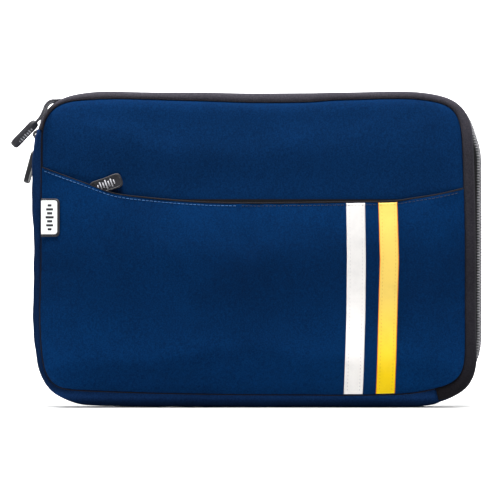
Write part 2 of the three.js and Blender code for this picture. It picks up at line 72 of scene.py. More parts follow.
# outline of the front panel, clockwise seen from the front, from the top left end of the zip
F_RAW = px([
    (41.5, 147), (41.8, 132.6), (43.8, 122.3), (47.8, 114.3), (54.2, 107.2), (62.2, 102.8), (71.7, 100.6), (89.3, 99.2), (111.6, 98.3), (143.5, 98.7),
    (175.4, 99.7), (207.3, 100.5), (250, 101.9), (313.8, 101.4), (329.7, 99.9), (361.6, 98.9), (385.5, 98.3), (409.4, 98.3), (425.4, 99.6),
    (438.1, 101.9), (447.2, 104.9), (453.6, 109.2), (458, 115.8), (460.7, 124), (462.2, 134), (463.6, 162), (464.4, 188.4), (465.2, 240), (465.3, 300), (465.2, 351.6),
    (464.0, 366), (459.2, 377.3), (448.4, 384.8), (436.5, 388.3), (417.4, 392.3), (401.5, 393.9), (376, 394.7), (344, 395), (297.8, 394.7),
    (250, 394.5), (175.4, 393.4), (143.5, 392.6), (111.6, 391.5), (79.7, 390.2), (68.6, 389.4), (59, 387.5), (52.6, 383.5), (47, 376), (43.8, 366),
    (41.8, 352), (40.7, 336), (40, 312), (41, 272), (41.3, 210),
])
# silhouette
M_RAW = px([
    (34.3, 147), (36, 136), (38, 129), (41, 121), (46, 113), (53, 106), (60, 100.5), (70, 97), (80, 94), (90, 93), (100, 92), (150, 93), (200, 93),
    (250, 94), (350, 93), (400, 92), (420, 93), (430, 94), (440, 96), (450, 99), (455, 102), (460, 106), (465, 111), (470, 120), (475, 134),
    (478, 143), (479, 167), (480, 191), (481, 210), (480.6, 275), (479.6, 311), (478, 347), (473.5, 375), (468.5, 384.5), (463, 391), (455.7, 395.7),
    (448, 399.5), (440, 402), (430, 405), (420, 406), (400, 408), (350, 408), (250, 407), (200, 406), (100, 405), (80, 404), (70, 401.5), (60, 396),
    (52, 390), (46, 383), (41.5, 374), (38.5, 365), (36, 353), (34.5, 335), (33.5, 299), (33.5, 239), (32.7, 223), (31.8, 204), (32, 184), (32.7, 163),
])
LIP_RAW = px([
    (41.5, 167), (60, 174), (89, 184.5), (112, 193), (150, 198), (200, 202), (250, 203), (346, 202), (397, 201), (409, 199), (441, 194), (463.6, 188.4),
])


def catmull(points, per, closed=False):
    """Centripetal Catmull-Rom through the points, per samples for each span."""
    p = np.array(points, float)
    n = len(p)
    out = []
    spans = n if closed else n - 1
    for i in range(spans):
        if closed:
            q = [p[(i + k) % n] for k in (-1, 0, 1, 2)]
        else:
            q = [p[max(0, i - 1)], p[i], p[i + 1], p[min(n - 1, i + 2)]]
            if i == 0:
                q[0] = 2 * q[1] - q[2]
            if i == n - 2:
                q[3] = 2 * q[2] - q[1]
        t = [0.0]
        for a, b in zip(q, q[1:]):
            t.append(t[-1] + max(1e-6, np.linalg.norm(b - a)) ** 0.5)
        for u in np.linspace(t[1], t[2], per, endpoint=False):
            a1 = (t[1] - u) / (t[1] - t[0]) * q[0] + (u - t[0]) / (t[1] - t[0]) * q[1]
            a2 = (t[2] - u) / (t[2] - t[1]) * q[1] + (u - t[1]) / (t[2] - t[1]) * q[2]
            a3 = (t[3] - u) / (t[3] - t[2]) * q[2] + (u - t[2]) / (t[3] - t[2]) * q[3]
            b1 = (t[2] - u) / (t[2] - t[0]) * a1 + (u - t[0]) / (t[2] - t[0]) * a2
            b2 = (t[3] - u) / (t[3] - t[1]) * a2 + (u - t[1]) / (t[3] - t[1]) * a3
            out.append((t[2] - u) / (t[2] - t[1]) * b1 + (u - t[1]) / (t[2] - t[1]) * b2)
    if not closed:
        out.append(p[-1])
    return np.array(out)


def even(poly, count, closed=False):
    """Points evenly spaced along a polyline."""
    p = np.vstack([poly, poly[:1]]) if closed else np.array(poly, float)
    s = np.concatenate([[0], np.cumsum(np.linalg.norm(np.diff(p, axis=0), axis=1))])
    t = np.linspace(0, s[-1], count, endpoint=not closed)
    return np.stack([np.interp(t, s, p[:, k]) for k in range(p.shape[1])], 1), s[-1]


def smooth_loop(p, rounds, closed=True):
    p = p.copy()
    for _ in range(rounds):
        if closed:
            p = 0.25 * np.roll(p, 1, 0) + 0.5 * p + 0.25 * np.roll(p, -1, 0)
        else:
            q = p.copy()
            q[1:-1] = 0.25 * p[:-2] + 0.5 * p[1:-1] + 0.25 * p[2:]
            p = q
    return p


PERIM = 480
F, F_LEN = even(catmull(F_RAW, 12, True), PERIM, True)
F = smooth_loop(F, 6)
tangent = np.roll(F, -1, 0) - np.roll(F, 1, 0)
tangent /= np.linalg.norm(tangent, axis=1)[:, None]
FN = np.stack([-tangent[:, 1], tangent[:, 0]], 1)  # walking clockwise, outwards is to the left of the tangent
FN = smooth_loop(FN, 10)
FN /= np.linalg.norm(FN, axis=1)[:, None]
M = smooth_loop(even(catmull(M_RAW, 12, True), 900, True)[0], 12)
FAR = CAM_DIST / (CAM_DIST - 0.016)  # the sleeve is widest some way behind its front panel
M = np.stack([AIM[0] * 1000 + (M[:, 0] - AIM[0] * 1000) * FAR, AIM[2] * 1000 + (M[:, 1] - AIM[2] * 1000) * FAR], 1)
M[:, 1] = np.maximum(M[:, 1], 0.35)


def reach(poly, origin, direction, closed=True, low=-6.0, high=22.0):
    """Distance from origin along direction to a polyline, or None."""
    a = poly
    b = np.roll(poly, -1, 0) if closed else poly[1:]
    a = a if closed else poly[:-1]
    d = b - a
    det = direction[0] * -d[:, 1] + direction[1] * d[:, 0]
    r = a - origin
    with np.errstate(divide="ignore", invalid="ignore"):
        t = (r[:, 0] * -d[:, 1] + r[:, 1] * d[:, 0]) / det
        u = (direction[0] * r[:, 1] - direction[1] * r[:, 0]) / det
    ok = (u >= -1e-6) & (u <= 1 + 1e-6) & (t > low) & (t < high)
    return float(t[ok][np.argmin(np.abs(t[ok]))]) if ok.any() else None


def fill(values):
    """Fills the gaps in a cyclic list."""
    v = np.array([np.nan if x is None else x for x in values], float)
    idx = np.arange(len(v))
    good = ~np.isnan(v)
    return np.interp(idx, idx[good], v[good], period=len(v))


REACH = fill([reach(M, F[i], FN[i], low=0.2) for i in range(PERIM)])
REACH = smooth_loop(REACH[:, None], 12)[:, 0]

# the zip chain's path where the sliders run, as the CAD has it, and further out down the right side
CHAIN_Y = -1.0
arc = lambda cx, cz, rx, rz, a0, a1, n: [(cx + rx * math.cos(math.radians(a)), cz + rz * math.sin(math.radians(a))) for a in np.linspace(a0, a1, n)]
XR = 169.7
CHAIN = np.array(
    [(-160.4, 190.0), (-160.4, 198.0)]
    + arc(-134.8, 207.0, 25.6, 25.6, 180, 90, 30)
    + [(x, 232.6) for x in np.linspace(-130, 116, 40)]
    + arc(120.4, 186.6, XR - 120.4, 46, 90, 0, 40)
    + [(XR, z) for z in np.linspace(182, 56, 24)]
    + arc(126, 52, XR - 126, 44, 0, -75, 24)
)
C_REACH = fill([reach(CHAIN, F[i], FN[i], closed=False, low=-9, high=24) for i in range(PERIM)])


def nearest(p, poly=None):
    poly = F if poly is None else poly
    return int(np.argmin(np.linalg.norm(poly - np.array(p), axis=1)))


I_START = nearest(px([(41.6, 131)])[0])  # top left end of the zip
I_END = nearest(px([(437, 388.3)])[0])  # its lower right end
ZIP = [(i % PERIM) for i in range(I_START, I_END + 1)] if I_END > I_START else [(i % PERIM) for i in range(I_START, I_END + PERIM + 1)]
GUS = [(i % PERIM) for i in range(I_END, I_START + PERIM + 1)]
KX = F[:, 0]


def ramp(x, a, b):
    t = np.clip((np.asarray(x, float) - a) / (np.asarray(b, float) - a), 0, 1)
    return t * t * (3 - 2 * t)


# share of each station that belongs to the right side, where the chain shows
RIGHT = ramp(F[:, 0], 118, 157) * ramp(F[:, 1], 4, 14)
LOWRIGHT = RIGHT * (1 - ramp(F[:, 1], 26, 58))
CORNER = RIGHT * ramp(F[:, 1], 176, 196)
C_REACH = C_REACH + CORNER * np.maximum(REACH - 1.5 - C_REACH, 0)  # round the corner the chain keeps to the outside
C_REACH = smooth_loop(C_REACH[:, None], 6)[:, 0]
TRIM = (1 - RIGHT) * np.clip(REACH, 1.6, 7.4) + RIGHT * np.clip(REACH - 0.8, 1.6, 8.4)
TRIM = TRIM * (1 - LOWRIGHT) + LOWRIGHT * np.maximum(REACH - 0.2, 8.4)
TRIM = smooth_loop(TRIM[:, None], 8)[:, 0]
# which stations lie along the zip side
TOPZIP = np.array([i in set(ZIP) for i in range(PERIM)])

# ------------------------------------------------------------------ surfaces
FRONT_Y, BACK_Y = -12.0, 12.0


def dist_to_outline(points, poly=F):
    p = np.asarray(points, float).reshape(-1, 2)
    out = np.empty(len(p))
    for k in range(0, len(p), 2000):
        d = p[k : k + 2000, None, :] - poly[None]
        out[k : k + 2000] = np.sqrt((d**2).sum(2)).min(1)
    return out


def waves(x, z, seed=0.0):
    """Slow unevenness of soft cloth, about -1 to 1."""
    return (
        np.sin(x / 31 + 1.3 + seed) * np.sin(z / 27 + 0.4 + seed * 2)
        + 0.6 * np.sin(x / 17 - z / 23 + 2.1 + seed)
        + 0.4 * np.sin(x / 11 + z / 13 + 0.7 - seed)
    ) / 2.0


def front_y(x, z):
    """Front of the front panel: rolled in at its seam, crowned a little."""
    d = dist_to_outline(np.stack([x, z], 1))
    edge = 1.3 * np.exp(-d / 0.8)
    tab = 10 * (1 - ramp(x, -95, -70))  # flatter where the pocket's pull tab lies against it
    crown = 1.6 * (1 - np.exp(-d / 6.5)) + 3.2 * ramp(z, 156 + tab, 202 + tab) * (1 - np.exp(-d / 3.8))
    return FRONT_Y + edge - crown - 0.22 * waves(x, z) * np.minimum(d / 12, 1)


def back_y(x, z):
    d = dist_to_outline(np.stack([x, z], 1))
    return BACK_Y - 2.0 * np.exp(-d / 2.2) + 2.6 * (1 - np.exp(-d / 12)) + 0.25 * waves(x, z, 2.0) * np.minimum(d / 12, 1)


POCKET_DEPTH = 5.7
LIP_X, LIP_Z = catmull(LIP_RAW, 16).T


def pocket_y(x, z):
    """Front of the pocket: sewn down along the sleeve's edge, full towards its middle."""
    d = dist_to_outline(np.stack([x, z], 1))
    rise = 1 - np.exp(-((d / 11.5) ** 1.15))
    # full below the mouth and again above the bottom seam, slack between
    belly = np.exp(-(((x + 20) / 125) ** 2)) * (3.3 * np.exp(-(((z - 122) / 34) ** 2)) + 1.7 * np.exp(-(((z - 30) / 21) ** 2)))
    edge = 1.5 * np.exp(-d / 1.2)
    # the mouth is drawn in towards the sleeve along most of its width, less where the pull tab stands in it
    below = np.maximum(np.interp(x, LIP_X, LIP_Z) - z, 0)
    drawn = (0.4 + 3.3 * ramp(x, -98, -72) * (1 - 0.45 * ramp(x, 10, 90)) + 1.2 * (1 - ramp(x, -152, -134))) * np.exp(-below / 15)
    return FRONT_Y - 1.5 + edge - POCKET_DEPTH * rise - belly + drawn * rise - 0.5 * waves(x, z, 4.0) * np.minimum(d / 20, 1)


def v3(x, y, z):
    return np.stack(np.broadcast_arrays(np.asarray(x, float), np.asarray(y, float), np.asarray(z, float)), -1)


def make(name, verts, faces, material, body=None, replaces=(), slot=None, smooth=True, stage=False):
    me = bpy.data.meshes.new(name)
    me.from_pydata((np.asarray(verts, float) * 0.001).tolist(), [], [list(map(int, f)) for f in faces])
    me.validate(clean_customdata=False)
    bm = bmesh.new()
    bm.from_mesh(me)
    bmesh.ops.remove_doubles(bm, verts=bm.verts, dist=1e-7)
    bmesh.ops.recalc_face_normals(bm, faces=bm.faces)
    bm.to_mesh(me)
    bm.free()
    if smooth:
        me.polygons.foreach_set("use_smooth", [True] * len(me.polygons))
    me.materials.append(material)
    o = bpy.data.objects.new(name, me)
    scene.collection.objects.link(o)
    if body:
        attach(o, body)
    if replaces:
        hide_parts(*replaces)
    return o


def loft(rings, closed_ring=True, closed_path=False, caps=True):
    """Vertices and faces of a skin through rings of the same number of points."""
    rings = np.asarray(rings, float)
    m, n = rings.shape[:2]
    verts = rings.reshape(-1, 3)
    faces = []
    for i in range(m if closed_path else m - 1):
        a, b = i * n, ((i + 1) % m) * n
        for j in range(n if closed_ring else n - 1):
            k = (j + 1) % n
            faces.append((a + j, a + k, b + k, b + j))
    if caps and closed_ring and not closed_path:
        faces.append(tuple(range(n - 1, -1, -1)))
        faces.append(tuple(range((m - 1) * n, m * n)))
    return verts, faces


def join(parts):
    """Several (verts, faces) as one."""
    vs, fs, at = [], [], 0
    for v, f in parts:
        vs.append(np.asarray(v, float))
        fs += [tuple(i + at for i in face) for face in f]
        at += len(v)
    return np.vstack(vs), fs


def bevel(o, width, segments=2, angle=35):
    m = o.modifiers.new("bevel", "BEVEL")
    m.width, m.segments, m.limit_method, m.angle_limit = width * 0.001, segments, "ANGLE", math.radians(angle)
    return m


def subdivide(o, levels=1):
    m = o.modifiers.new("subdivision", "SUBSURF")
    m.levels = m.render_levels = levels
    return m


def fold(o):
    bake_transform(o)
    return o


# ------------------------------------------------------------------ materials
class Nodes:
    def __init__(self, name):
        self.mat = bpy.data.materials.new(name)
        self.mat.use_nodes = True
        self.t = self.mat.node_tree
        self.t.nodes.clear()
        self.out = self.t.nodes.new("ShaderNodeOutputMaterial")
        self.b = self.t.nodes.new("ShaderNodeBsdfPrincipled")
        self.t.links.new(self.b.outputs[0], self.out.inputs[0])
        self.coord = self.t.nodes.new("ShaderNodeTexCoord").outputs["Object"]

    def set(self, **values):
        for k, v in values.items():
            self.b.inputs[k.replace("_", " ")].default_value = v
        return self

    def link(self, a, b):
        self.t.links.new(a, b)

    def math(self, op, a, b=None, c=None):
        n = self.t.nodes.new("ShaderNodeMath")
        n.operation = op
        for i, v in enumerate((a, b, c)):
            if v is None:
                continue
            if isinstance(v, (int, float)):
                n.inputs[i].default_value = v
            else:
                self.link(v, n.inputs[i])
        return n.outputs[0]

    def mapping(self, scale=(1, 1, 1), rotation=(0, 0, 0), location=(0, 0, 0)):
        n = self.t.nodes.new("ShaderNodeMapping")
        n.inputs["Scale"].default_value = scale
        n.inputs["Rotation"].default_value = rotation
        n.inputs["Location"].default_value = location
        self.link(self.coord, n.inputs[0])
        return n.outputs[0]

    def noise(self, scale, detail=3, rough=0.5, vector=None, distortion=0.0):
        n = self.t.nodes.new("ShaderNodeTexNoise")
        n.inputs["Scale"].default_value = scale
        n.inputs["Detail"].default_value = detail
        n.inputs["Roughness"].default_value = rough
        n.inputs["Distortion"].default_value = distortion
        self.link(vector or self.coord, n.inputs["Vector"])
        return n.outputs["Fac"]

    def voronoi(self, scale, vector=None, feature="F1", randomness=1.0):
        n = self.t.nodes.new("ShaderNodeTexVoronoi")
        n.feature = feature
        n.inputs["Scale"].default_value = scale
        n.inputs["Randomness"].default_value = randomness
        self.link(vector or self.coord, n.inputs["Vector"])
        return n.outputs["Distance"]

    def axes(self, vector=None):
        n = self.t.nodes.new("ShaderNodeSeparateXYZ")
        self.link(vector or self.coord, n.inputs[0])
        return n.outputs

    def ramp(self, fac, stops):
        n = self.t.nodes.new("ShaderNodeValToRGB")
        e = n.color_ramp.elements
        while len(e) < len(stops):
            e.new(0.5)
        for el, (pos, col) in zip(e, stops):
            el.position = pos
            el.color = (*col, 1) if len(col) == 3 else col
        self.link(fac, n.inputs[0])
        return n.outputs[0]

    def mix(self, fac, a, b, mode="MIX"):
        n = self.t.nodes.new("ShaderNodeMix")
        n.data_type = "RGBA"
        n.blend_type = mode
        for sock, v in ((n.inputs[0], fac), (n.inputs[6], a), (n.inputs[7], b)):
            if isinstance(v, (int, float)):
                sock.default_value = v
            elif isinstance(v, (tuple, list)):
                sock.default_value = (*v, 1) if len(v) == 3 else v
            else:
                self.link(v, sock)
        return n.outputs[2]

    def bump(self, height, strength, distance, normal=None):
        n = self.t.nodes.new("ShaderNodeBump")
        n.inputs["Strength"].default_value = strength
        n.inputs["Distance"].default_value = distance
        self.link(height, n.inputs["Height"])
        if normal is not None:
            self.link(normal, n.inputs["Normal"])
        return n.outputs[0]

    def wire(self, color=None, rough=None, normal=None):
        if color is not None:
            self.link(color, self.b.inputs["Base Color"])
        if rough is not None:
            self.link(rough, self.b.inputs["Roughness"])
        if normal is not None:
            self.link(normal, self.b.inputs["Normal"])
        return self.mat


def srgb(r, g, b):
    f = lambda c: (c / 255) / 12.92 if c / 255 <= 0.04045 else ((c / 255 + 0.055) / 1.055) ** 2.4
    return (f(r), f(g), f(b))


def knit(name, light, dark, pitch=0.95, sheen=0.0, rough=0.85, worn=None, bump=0.5, angle=0.0):
    """Knitted face of neoprene: rows of small stitches, a soft nap, and slow changes of colour."""
    n = Nodes(name)
    m = n.mapping(scale=(1000 / pitch, 1000 / pitch, 1000 / (pitch * 0.82)), rotation=(0, angle, 0))
    x, y, z = n.axes(m)
    sx = n.math("SINE", n.math("MULTIPLY", x, math.pi))
    # each row of stitches leans the other way, as the two legs of a knit loop do
    zz = n.math("ADD", z, n.math("MULTIPLY", n.math("ABSOLUTE", sx), 0.45))
    sz = n.math("SINE", n.math("MULTIPLY", zz, 2 * math.pi))
    loops = n.math("ADD", n.math("MULTIPLY", n.math("ABSOLUTE", sx), 0.6), n.math("MULTIPLY", sz, 0.25))
    nap = n.noise(2600, 2, 0.6)
    slow = n.noise(14, 3, 0.55)
    mottle = n.noise(420, 3, 0.65)
    col = n.ramp(slow, [(0.3, dark), (0.72, light)])
    col = n.mix(n.math("MULTIPLY", n.math("SUBTRACT", 1.0, n.math("MULTIPLY", loops, 1.0)), 0.30), col, tuple(c * 0.45 for c in dark))
    col = n.mix(n.math("MULTIPLY", mottle, 0.42), col, tuple(min(1, c * 1.8 + 0.003) for c in light))
    heather = n.ramp(n.noise(950, 2, 0.6), [(0.36, (0.72, 0.74, 0.78)), (0.64, (1.22, 1.2, 1.16))])
    col = n.mix(1.0, col, heather, "MULTIPLY")
    if worn:
        col = n.mix(n.math("MULTIPLY", n.ramp(n.noise(38, 4, 0.7), [(0.52, (0, 0, 0)), (0.74, (1, 1, 1))]), 0.22), col, worn)
    height = n.math("ADD", n.math("MULTIPLY", loops, 0.7), n.math("MULTIPLY", nap, 0.55))
    normal = n.bump(height, bump, 0.00022)
    normal = n.bump(n.noise(55, 3, 0.6), 0.16, 0.0016, normal)
    r = n.ramp(mottle, [(0.3, (rough - 0.1,) * 3), (0.7, (min(1, rough + 0.1),) * 3)])
    n.set(Sheen_Weight=sheen, Sheen_Roughness=0.45, Sheen_Tint=(*[min(1, c * 4 + 0.05) for c in light], 1), Specular_IOR_Level=0.03)
    return n.wire(col, r, normal)


def tape_mat(name, light, dark, pitch=0.55, rough=0.8):
    """Woven narrow tape: herringbone of fine yarns."""
    n = Nodes(name)
    x, y, z = n.axes(n.mapping(scale=(1000 / pitch,) * 3))
    s = n.math("SINE", n.math("MULTIPLY", n.math("ADD", n.math("ADD", x, z), y), math.pi * 2))
    t = n.math("SINE", n.math("MULTIPLY", n.math("SUBTRACT", n.math("ADD", x, y), z), math.pi * 2))
    h = n.math("MAXIMUM", s, t)
    col = n.mix(n.math("MULTIPLY", n.math("ADD", h, 1.0), 0.5), dark, light)
    col = n.mix(n.math("MULTIPLY", n.noise(90, 3), 0.3), col, tuple(c * 1.5 for c in light))
    n.set(Sheen_Weight=0.04, Specular_IOR_Level=0.12, Roughness=rough)
    return n.wire(col, None, n.bump(h, 0.45, 0.0002))


def rubber_mat(name, base, rough=0.5):
    n = Nodes(name)
    fine = n.noise(1500, 3, 0.6)
    dust = n.noise(160, 4, 0.7)
    col = n.mix(n.math("MULTIPLY", n.ramp(dust, [(0.45, (0, 0, 0)), (0.8, (1, 1, 1))]), 0.35), base, tuple(min(1, c * 2.4 + 0.01) for c in base))
    r = n.ramp(dust, [(0.3, (rough - 0.08,) * 3), (0.75, (rough + 0.18,) * 3)])
    n.set(Specular_IOR_Level=0.42)
    return n.wire(col, r, n.bump(fine, 0.25, 0.00012))


def metal_mat(name, base, rough=0.34):
    n = Nodes(name)
    scratch = n.noise(260, 5, 0.7, n.mapping(scale=(1, 1, 5)))
    wear = n.ramp(n.noise(340, 4, 0.7), [(0.5, (0, 0, 0)), (0.72, (1, 1, 1))])
    col = n.mix(n.math("MULTIPLY", wear, 0.4), base, tuple(min(1, c * 2.2 + 0.02) for c in base))
    r = n.ramp(scratch, [(0.3, (rough - 0.08,) * 3), (0.8, (rough + 0.2,) * 3)])
    n.set(Metallic=0.92)
    return n.wire(col, r, n.bump(scratch, 0.12, 0.0001))


def ribbon_mat(name, top, bottom, edge=None, rough=0.5, z0=0.010, z1=0.155, centre=0.0, half=0.0075, turn=(0.02, 0.55, 0.98)):
    """Coated ribbon: fine ribs across it, a change of tone along it from bottom to top that is painted light and shade,
    deeper at its folded edges.
    """
    n = Nodes(name)
    x, y, z = n.axes()
    along = n.math("DIVIDE", n.math("SUBTRACT", z, z0), z1 - z0)
    col = n.ramp(along, [(turn[0], bottom), (turn[1], tuple(0.62 * a + 0.38 * b for a, b in zip(top, bottom))), (turn[2], top)])
    if edge:
        level = lambda mm: ((mm + 2) / 4,) * 3
        lean = n.ramp(n.math("DIVIDE", z, 0.16), [(10 / 160, level(-1.7)), (66 / 160, level(-0.2)), (112 / 160, level(1.0)), (155 / 160, level(0.0))])
        shift = n.math("MULTIPLY", n.math("SUBTRACT", lean, 0.5), 0.004)
        off = n.math("ABSOLUTE", n.math("SUBTRACT", n.math("SUBTRACT", x, centre), shift))
        e = n.ramp(n.math("DIVIDE", off, half), [(0.88, (0, 0, 0)), (0.97, (1, 1, 1))])
        col = n.mix(n.math("MULTIPLY", e, 0.85), col, edge)
    ribs = n.math("SINE", n.math("MULTIPLY", z, 2 * math.pi / 0.0007))
    warp = n.math("SINE", n.math("MULTIPLY", x, 2 * math.pi / 0.0005))
    h = n.math("ADD", n.math("MULTIPLY", ribs, 0.6), n.math("MULTIPLY", warp, 0.3))
    grime = n.ramp(n.noise(70, 4, 0.7), [(0.45, (1, 1, 1)), (0.85, (0.87, 0.87, 0.88))])
    col = n.mix(1.0, col, grime, "MULTIPLY")
    n.set(Specular_IOR_Level=0.15, Sheen_Weight=0.0)
    r = n.ramp(n.noise(300, 3), [(0.3, (rough - 0.06,) * 3), (0.7, (rough + 0.1,) * 3)])
    return n.wire(col, r, n.bump(h, 0.22, 0.00012))


def cord_mat(name, light, dark, pitch=1.3):
    """Round braid: two sets of diagonal strands."""
    n = Nodes(name)
    x, y, z = n.axes(n.mapping(scale=(1000 / pitch,) * 3))
    a = n.math("SINE", n.math("MULTIPLY", n.math("ADD", n.math("ADD", x, y), z), math.pi * 2))
    b = n.math("SINE", n.math("MULTIPLY", n.math("SUBTRACT", n.math("SUBTRACT", x, y), z), math.pi * 2))
    h = n.math("MULTIPLY", a, b)
    col = n.mix(n.math("MULTIPLY", n.math("ADD", h, 1.0), 0.5), dark, light)
    n.set(Roughness=0.62, Sheen_Weight=0.15, Specular_IOR_Level=0.35)
    return n.wire(col, None, n.bump(h, 0.6, 0.0003))


NAVY = knit("navy_knit", srgb(3, 38, 78), srgb(1, 27, 58), worn=srgb(6, 44, 86))
# a slightly darker copy of the navy for the pocket: painted shade
NAVY_POCKET_SHADED = knit("navy_knit_pocket_shaded", srgb(0, 35, 74), srgb(0, 24, 55), worn=srgb(2, 42, 84))
# a darker copy of the navy for the gusset and back band: painted shade on the sides
NAVY_SIDE_SHADED = knit("navy_knit_gusset_shaded", srgb(7, 30, 62), srgb(4, 21, 48), worn=srgb(10, 38, 74))
LINING = knit("black_lining", srgb(40, 41, 46), srgb(26, 27, 31), pitch=1.4, sheen=0.4, rough=0.9)
CHARCOAL = knit("charcoal_knit", srgb(62, 60, 67), srgb(46, 44, 51), pitch=1.0, sheen=0.12, rough=0.75)
def height_painted_light(source, name, span, stops):
    """A copy of a cloth with painted light and shade: its colour is multiplied by a factor that changes with height;
    stops are (height / span, share of the colour).
    """
    mat = source.copy()
    mat.name = name
    t = mat.node_tree
    b = next(x for x in t.nodes if x.type == "BSDF_PRINCIPLED")
    was = b.inputs["Base Color"].links[0].from_socket
    xyz = t.nodes.new("ShaderNodeSeparateXYZ")
    t.links.new(next(x for x in t.nodes if x.type == "TEX_COORD").outputs["Object"], xyz.inputs[0])
    r = t.nodes.new("ShaderNodeValToRGB")
    e = r.color_ramp.elements
    top = max(g for _, g in stops)
    e[0].position, e[0].color = stops[0][0], (stops[0][1] / top,) * 3 + (1,)
    e[1].position, e[1].color = stops[-1][0], (stops[-1][1] / top,) * 3 + (1,)
    for at, g in stops[1:-1]:
        e.new(at).color = (g / top,) * 3 + (1,)
    d = t.nodes.new("ShaderNodeMath")
    d.operation = "DIVIDE"
    d.inputs[1].default_value = span
    t.links.new(xyz.outputs[2], d.inputs[0])
    t.links.new(d.outputs[0], r.inputs[0])
    up = t.nodes.new("ShaderNodeVectorMath")
    up.operation = "SCALE"
    up.inputs[3].default_value = top
    t.links.new(r.outputs[0], up.inputs[0])
    mx = t.nodes.new("ShaderNodeMix")
    mx.data_type, mx.blend_type = "RGBA", "MULTIPLY"
    mx.inputs[0].default_value = 1.0
    t.links.new(was, mx.inputs[6])
    t.links.new(up.outputs[0], mx.inputs[7])
    t.links.new(mx.outputs[2], b.inputs["Base Color"])
    return mat


# painted light and shade on the trim: lighter at the top, where the overhead lamp falls, darker down the sides and near
# black low down
TRIM_PAINTED_TOPLIGHT = height_painted_light(CHARCOAL, "charcoal_trim_painted_toplight", 0.25, [(0.04, 0.2), (0.3, 0.42), (0.76, 0.52), (0.87, 0.85)])
# painted light on the pocket: a brighter glow low down above its bottom seam and a lighter band just below the lip
POCKET_PAINTED_LIGHT = height_painted_light(NAVY_POCKET_SHADED, "navy_pocket_painted_light", 0.16, [(0.03, 1.0), (0.12, 1.45), (0.23, 1.35), (0.36, 1.1), (0.5, 0.97), (0.75, 0.97), (0.92, 1.12)])
# painted shade and light on the gusset: near black where it meets the floor, a bright band about 8 to 10 mm up, and
# lighter again near the top
BAND_PAINTED_LIGHT = height_painted_light(NAVY_SIDE_SHADED, "navy_band_painted_light", 0.25, [(0.004, 0.5), (0.016, 0.9), (0.024, 1.5), (0.032, 2.3), (0.04, 2.3), (0.056, 1.2), (0.1, 0.9), (0.4, 0.9), (0.85, 1.6)])
TAPE = tape_mat("zip_tape", srgb(17, 17, 20), srgb(8, 8, 10))
BINDING = tape_mat("lip_binding", srgb(24, 22, 27), srgb(12, 11, 14), pitch=0.7)
# near black tape for the seam ropes: painted shadow in the sunken seams
SEAM_SHADOW = tape_mat("seam_painted_shadow", srgb(9, 10, 18), srgb(4, 5, 9), pitch=0.9)
THREAD = cord_mat("navy_thread", srgb(62, 124, 184), srgb(26, 80, 140), 0.5)
# a dark navy copy of the light blue thread: painted shade
THREAD_LIP_SHADED = cord_mat("lip_thread_painted_shade", srgb(8, 30, 62), srgb(3, 14, 34), 0.5)
# a dark copy of the stitch thread: painted shade in the stitch groove
THREAD_STRAP_SHADED = cord_mat("strap_thread_painted_shade", srgb(44, 42, 48), srgb(20, 19, 24), 0.5)
THREAD_WHITE = cord_mat("white_thread", srgb(190, 188, 194), srgb(150, 148, 156), 0.5)
THREAD_YELLOW = cord_mat("yellow_thread", srgb(196, 134, 16), srgb(150, 92, 4), 0.5)
COIL = rubber_mat("nylon_coil", srgb(150, 149, 153), 0.36)
METAL = metal_mat("gunmetal", srgb(84, 84, 90))
RUBBER = rubber_mat("moulded_rubber", srgb(29, 29, 34), 0.46)
RUBBER_DARK = rubber_mat("label_rubber", srgb(27, 28, 35), 0.5)
PRINT = rubber_mat("grey_print", srgb(168, 168, 174), 0.6)
CORD = cord_mat("braided_cord", srgb(70, 70, 78), srgb(34, 34, 40))
# the white ribbon is painted darker towards its top, which the overhead lamp lights more, and brighter towards its
# bottom: painted shade and light
WHITE = ribbon_mat("white_ribbon", srgb(204, 202, 200), srgb(255, 252, 249), rough=0.5)
# the yellow ribbon likewise: painted paler and darker towards its top where the lamp falls, deep yellow low down
YELLOW = ribbon_mat("yellow_ribbon", srgb(226, 194, 95), srgb(255, 216, 0), edge=srgb(226, 104, 2), centre=0.09953, half=0.0072, turn=(0.1, 0.36, 0.52))
LABEL_WHITE = ribbon_mat("label_face", srgb(253, 253, 253), srgb(250, 250, 252), rough=0.42, z0=0.13, z1=0.156)

# ------------------------------------------------------------------ panels: rings from the outline to the middle
RING_S = np.concatenate([[1.0, 0.9975, 0.993, 0.986, 0.975, 0.96, 0.94], np.linspace(0.915, 0.0, 34)])


def panel(outline, centre, surface, thick, rings=RING_S, thin_edge=0.45, moves=None, share_of=None):
    """A padded sheet: its face follows surface(x, z), its back lies thick behind it, and the two meet at the outline."""
    c = np.array(centre, float)
    rows = []
    for s in rings[:-1]:
        p = c + (outline - c) * s
        rows.append(p)
    n = len(outline)
    flat = np.vstack(rows + [c[None]])
    y = surface(flat[:, 0], flat[:, 1])
    if moves is not None:
        d = spread(moves, rings, n)
        d = np.vstack([d[:-1].reshape(-1, 3), d[-1].mean(0)[None]])
        if share_of is not None:
            d = d * share_of(flat[:, 0], flat[:, 1])[:, None]
        flat = flat + d[:, [0, 2]]
        y = y + d[:, 1]
    share = np.concatenate([np.full(n, s) for s in rings[:-1]] + [[0.0]])
    edge = np.clip((1 - share) / 0.02, 0, 1)
    back = y + thick * (thin_edge + (1 - thin_edge) * edge)
    m = len(rows)
    total = len(flat)
    verts = np.vstack([v3(flat[:, 0], y, flat[:, 1]), v3(flat[:, 0], back, flat[:, 1])])
    faces = []
    for off in (0, total):
        for i in range(m - 1):
            for j in range(n):
                k = (j + 1) % n
                a = off + i * n
                faces.append((a + j, a + k, a + n + k, a + n + j))
        last = off + (m - 1) * n
        for j in range(n):
            faces.append((last + j, last + (j + 1) % n, off + total - 1))
    for j in range(n):
        k = (j + 1) % n
        faces.append((j, total + j, total + k, k))
    return verts, faces


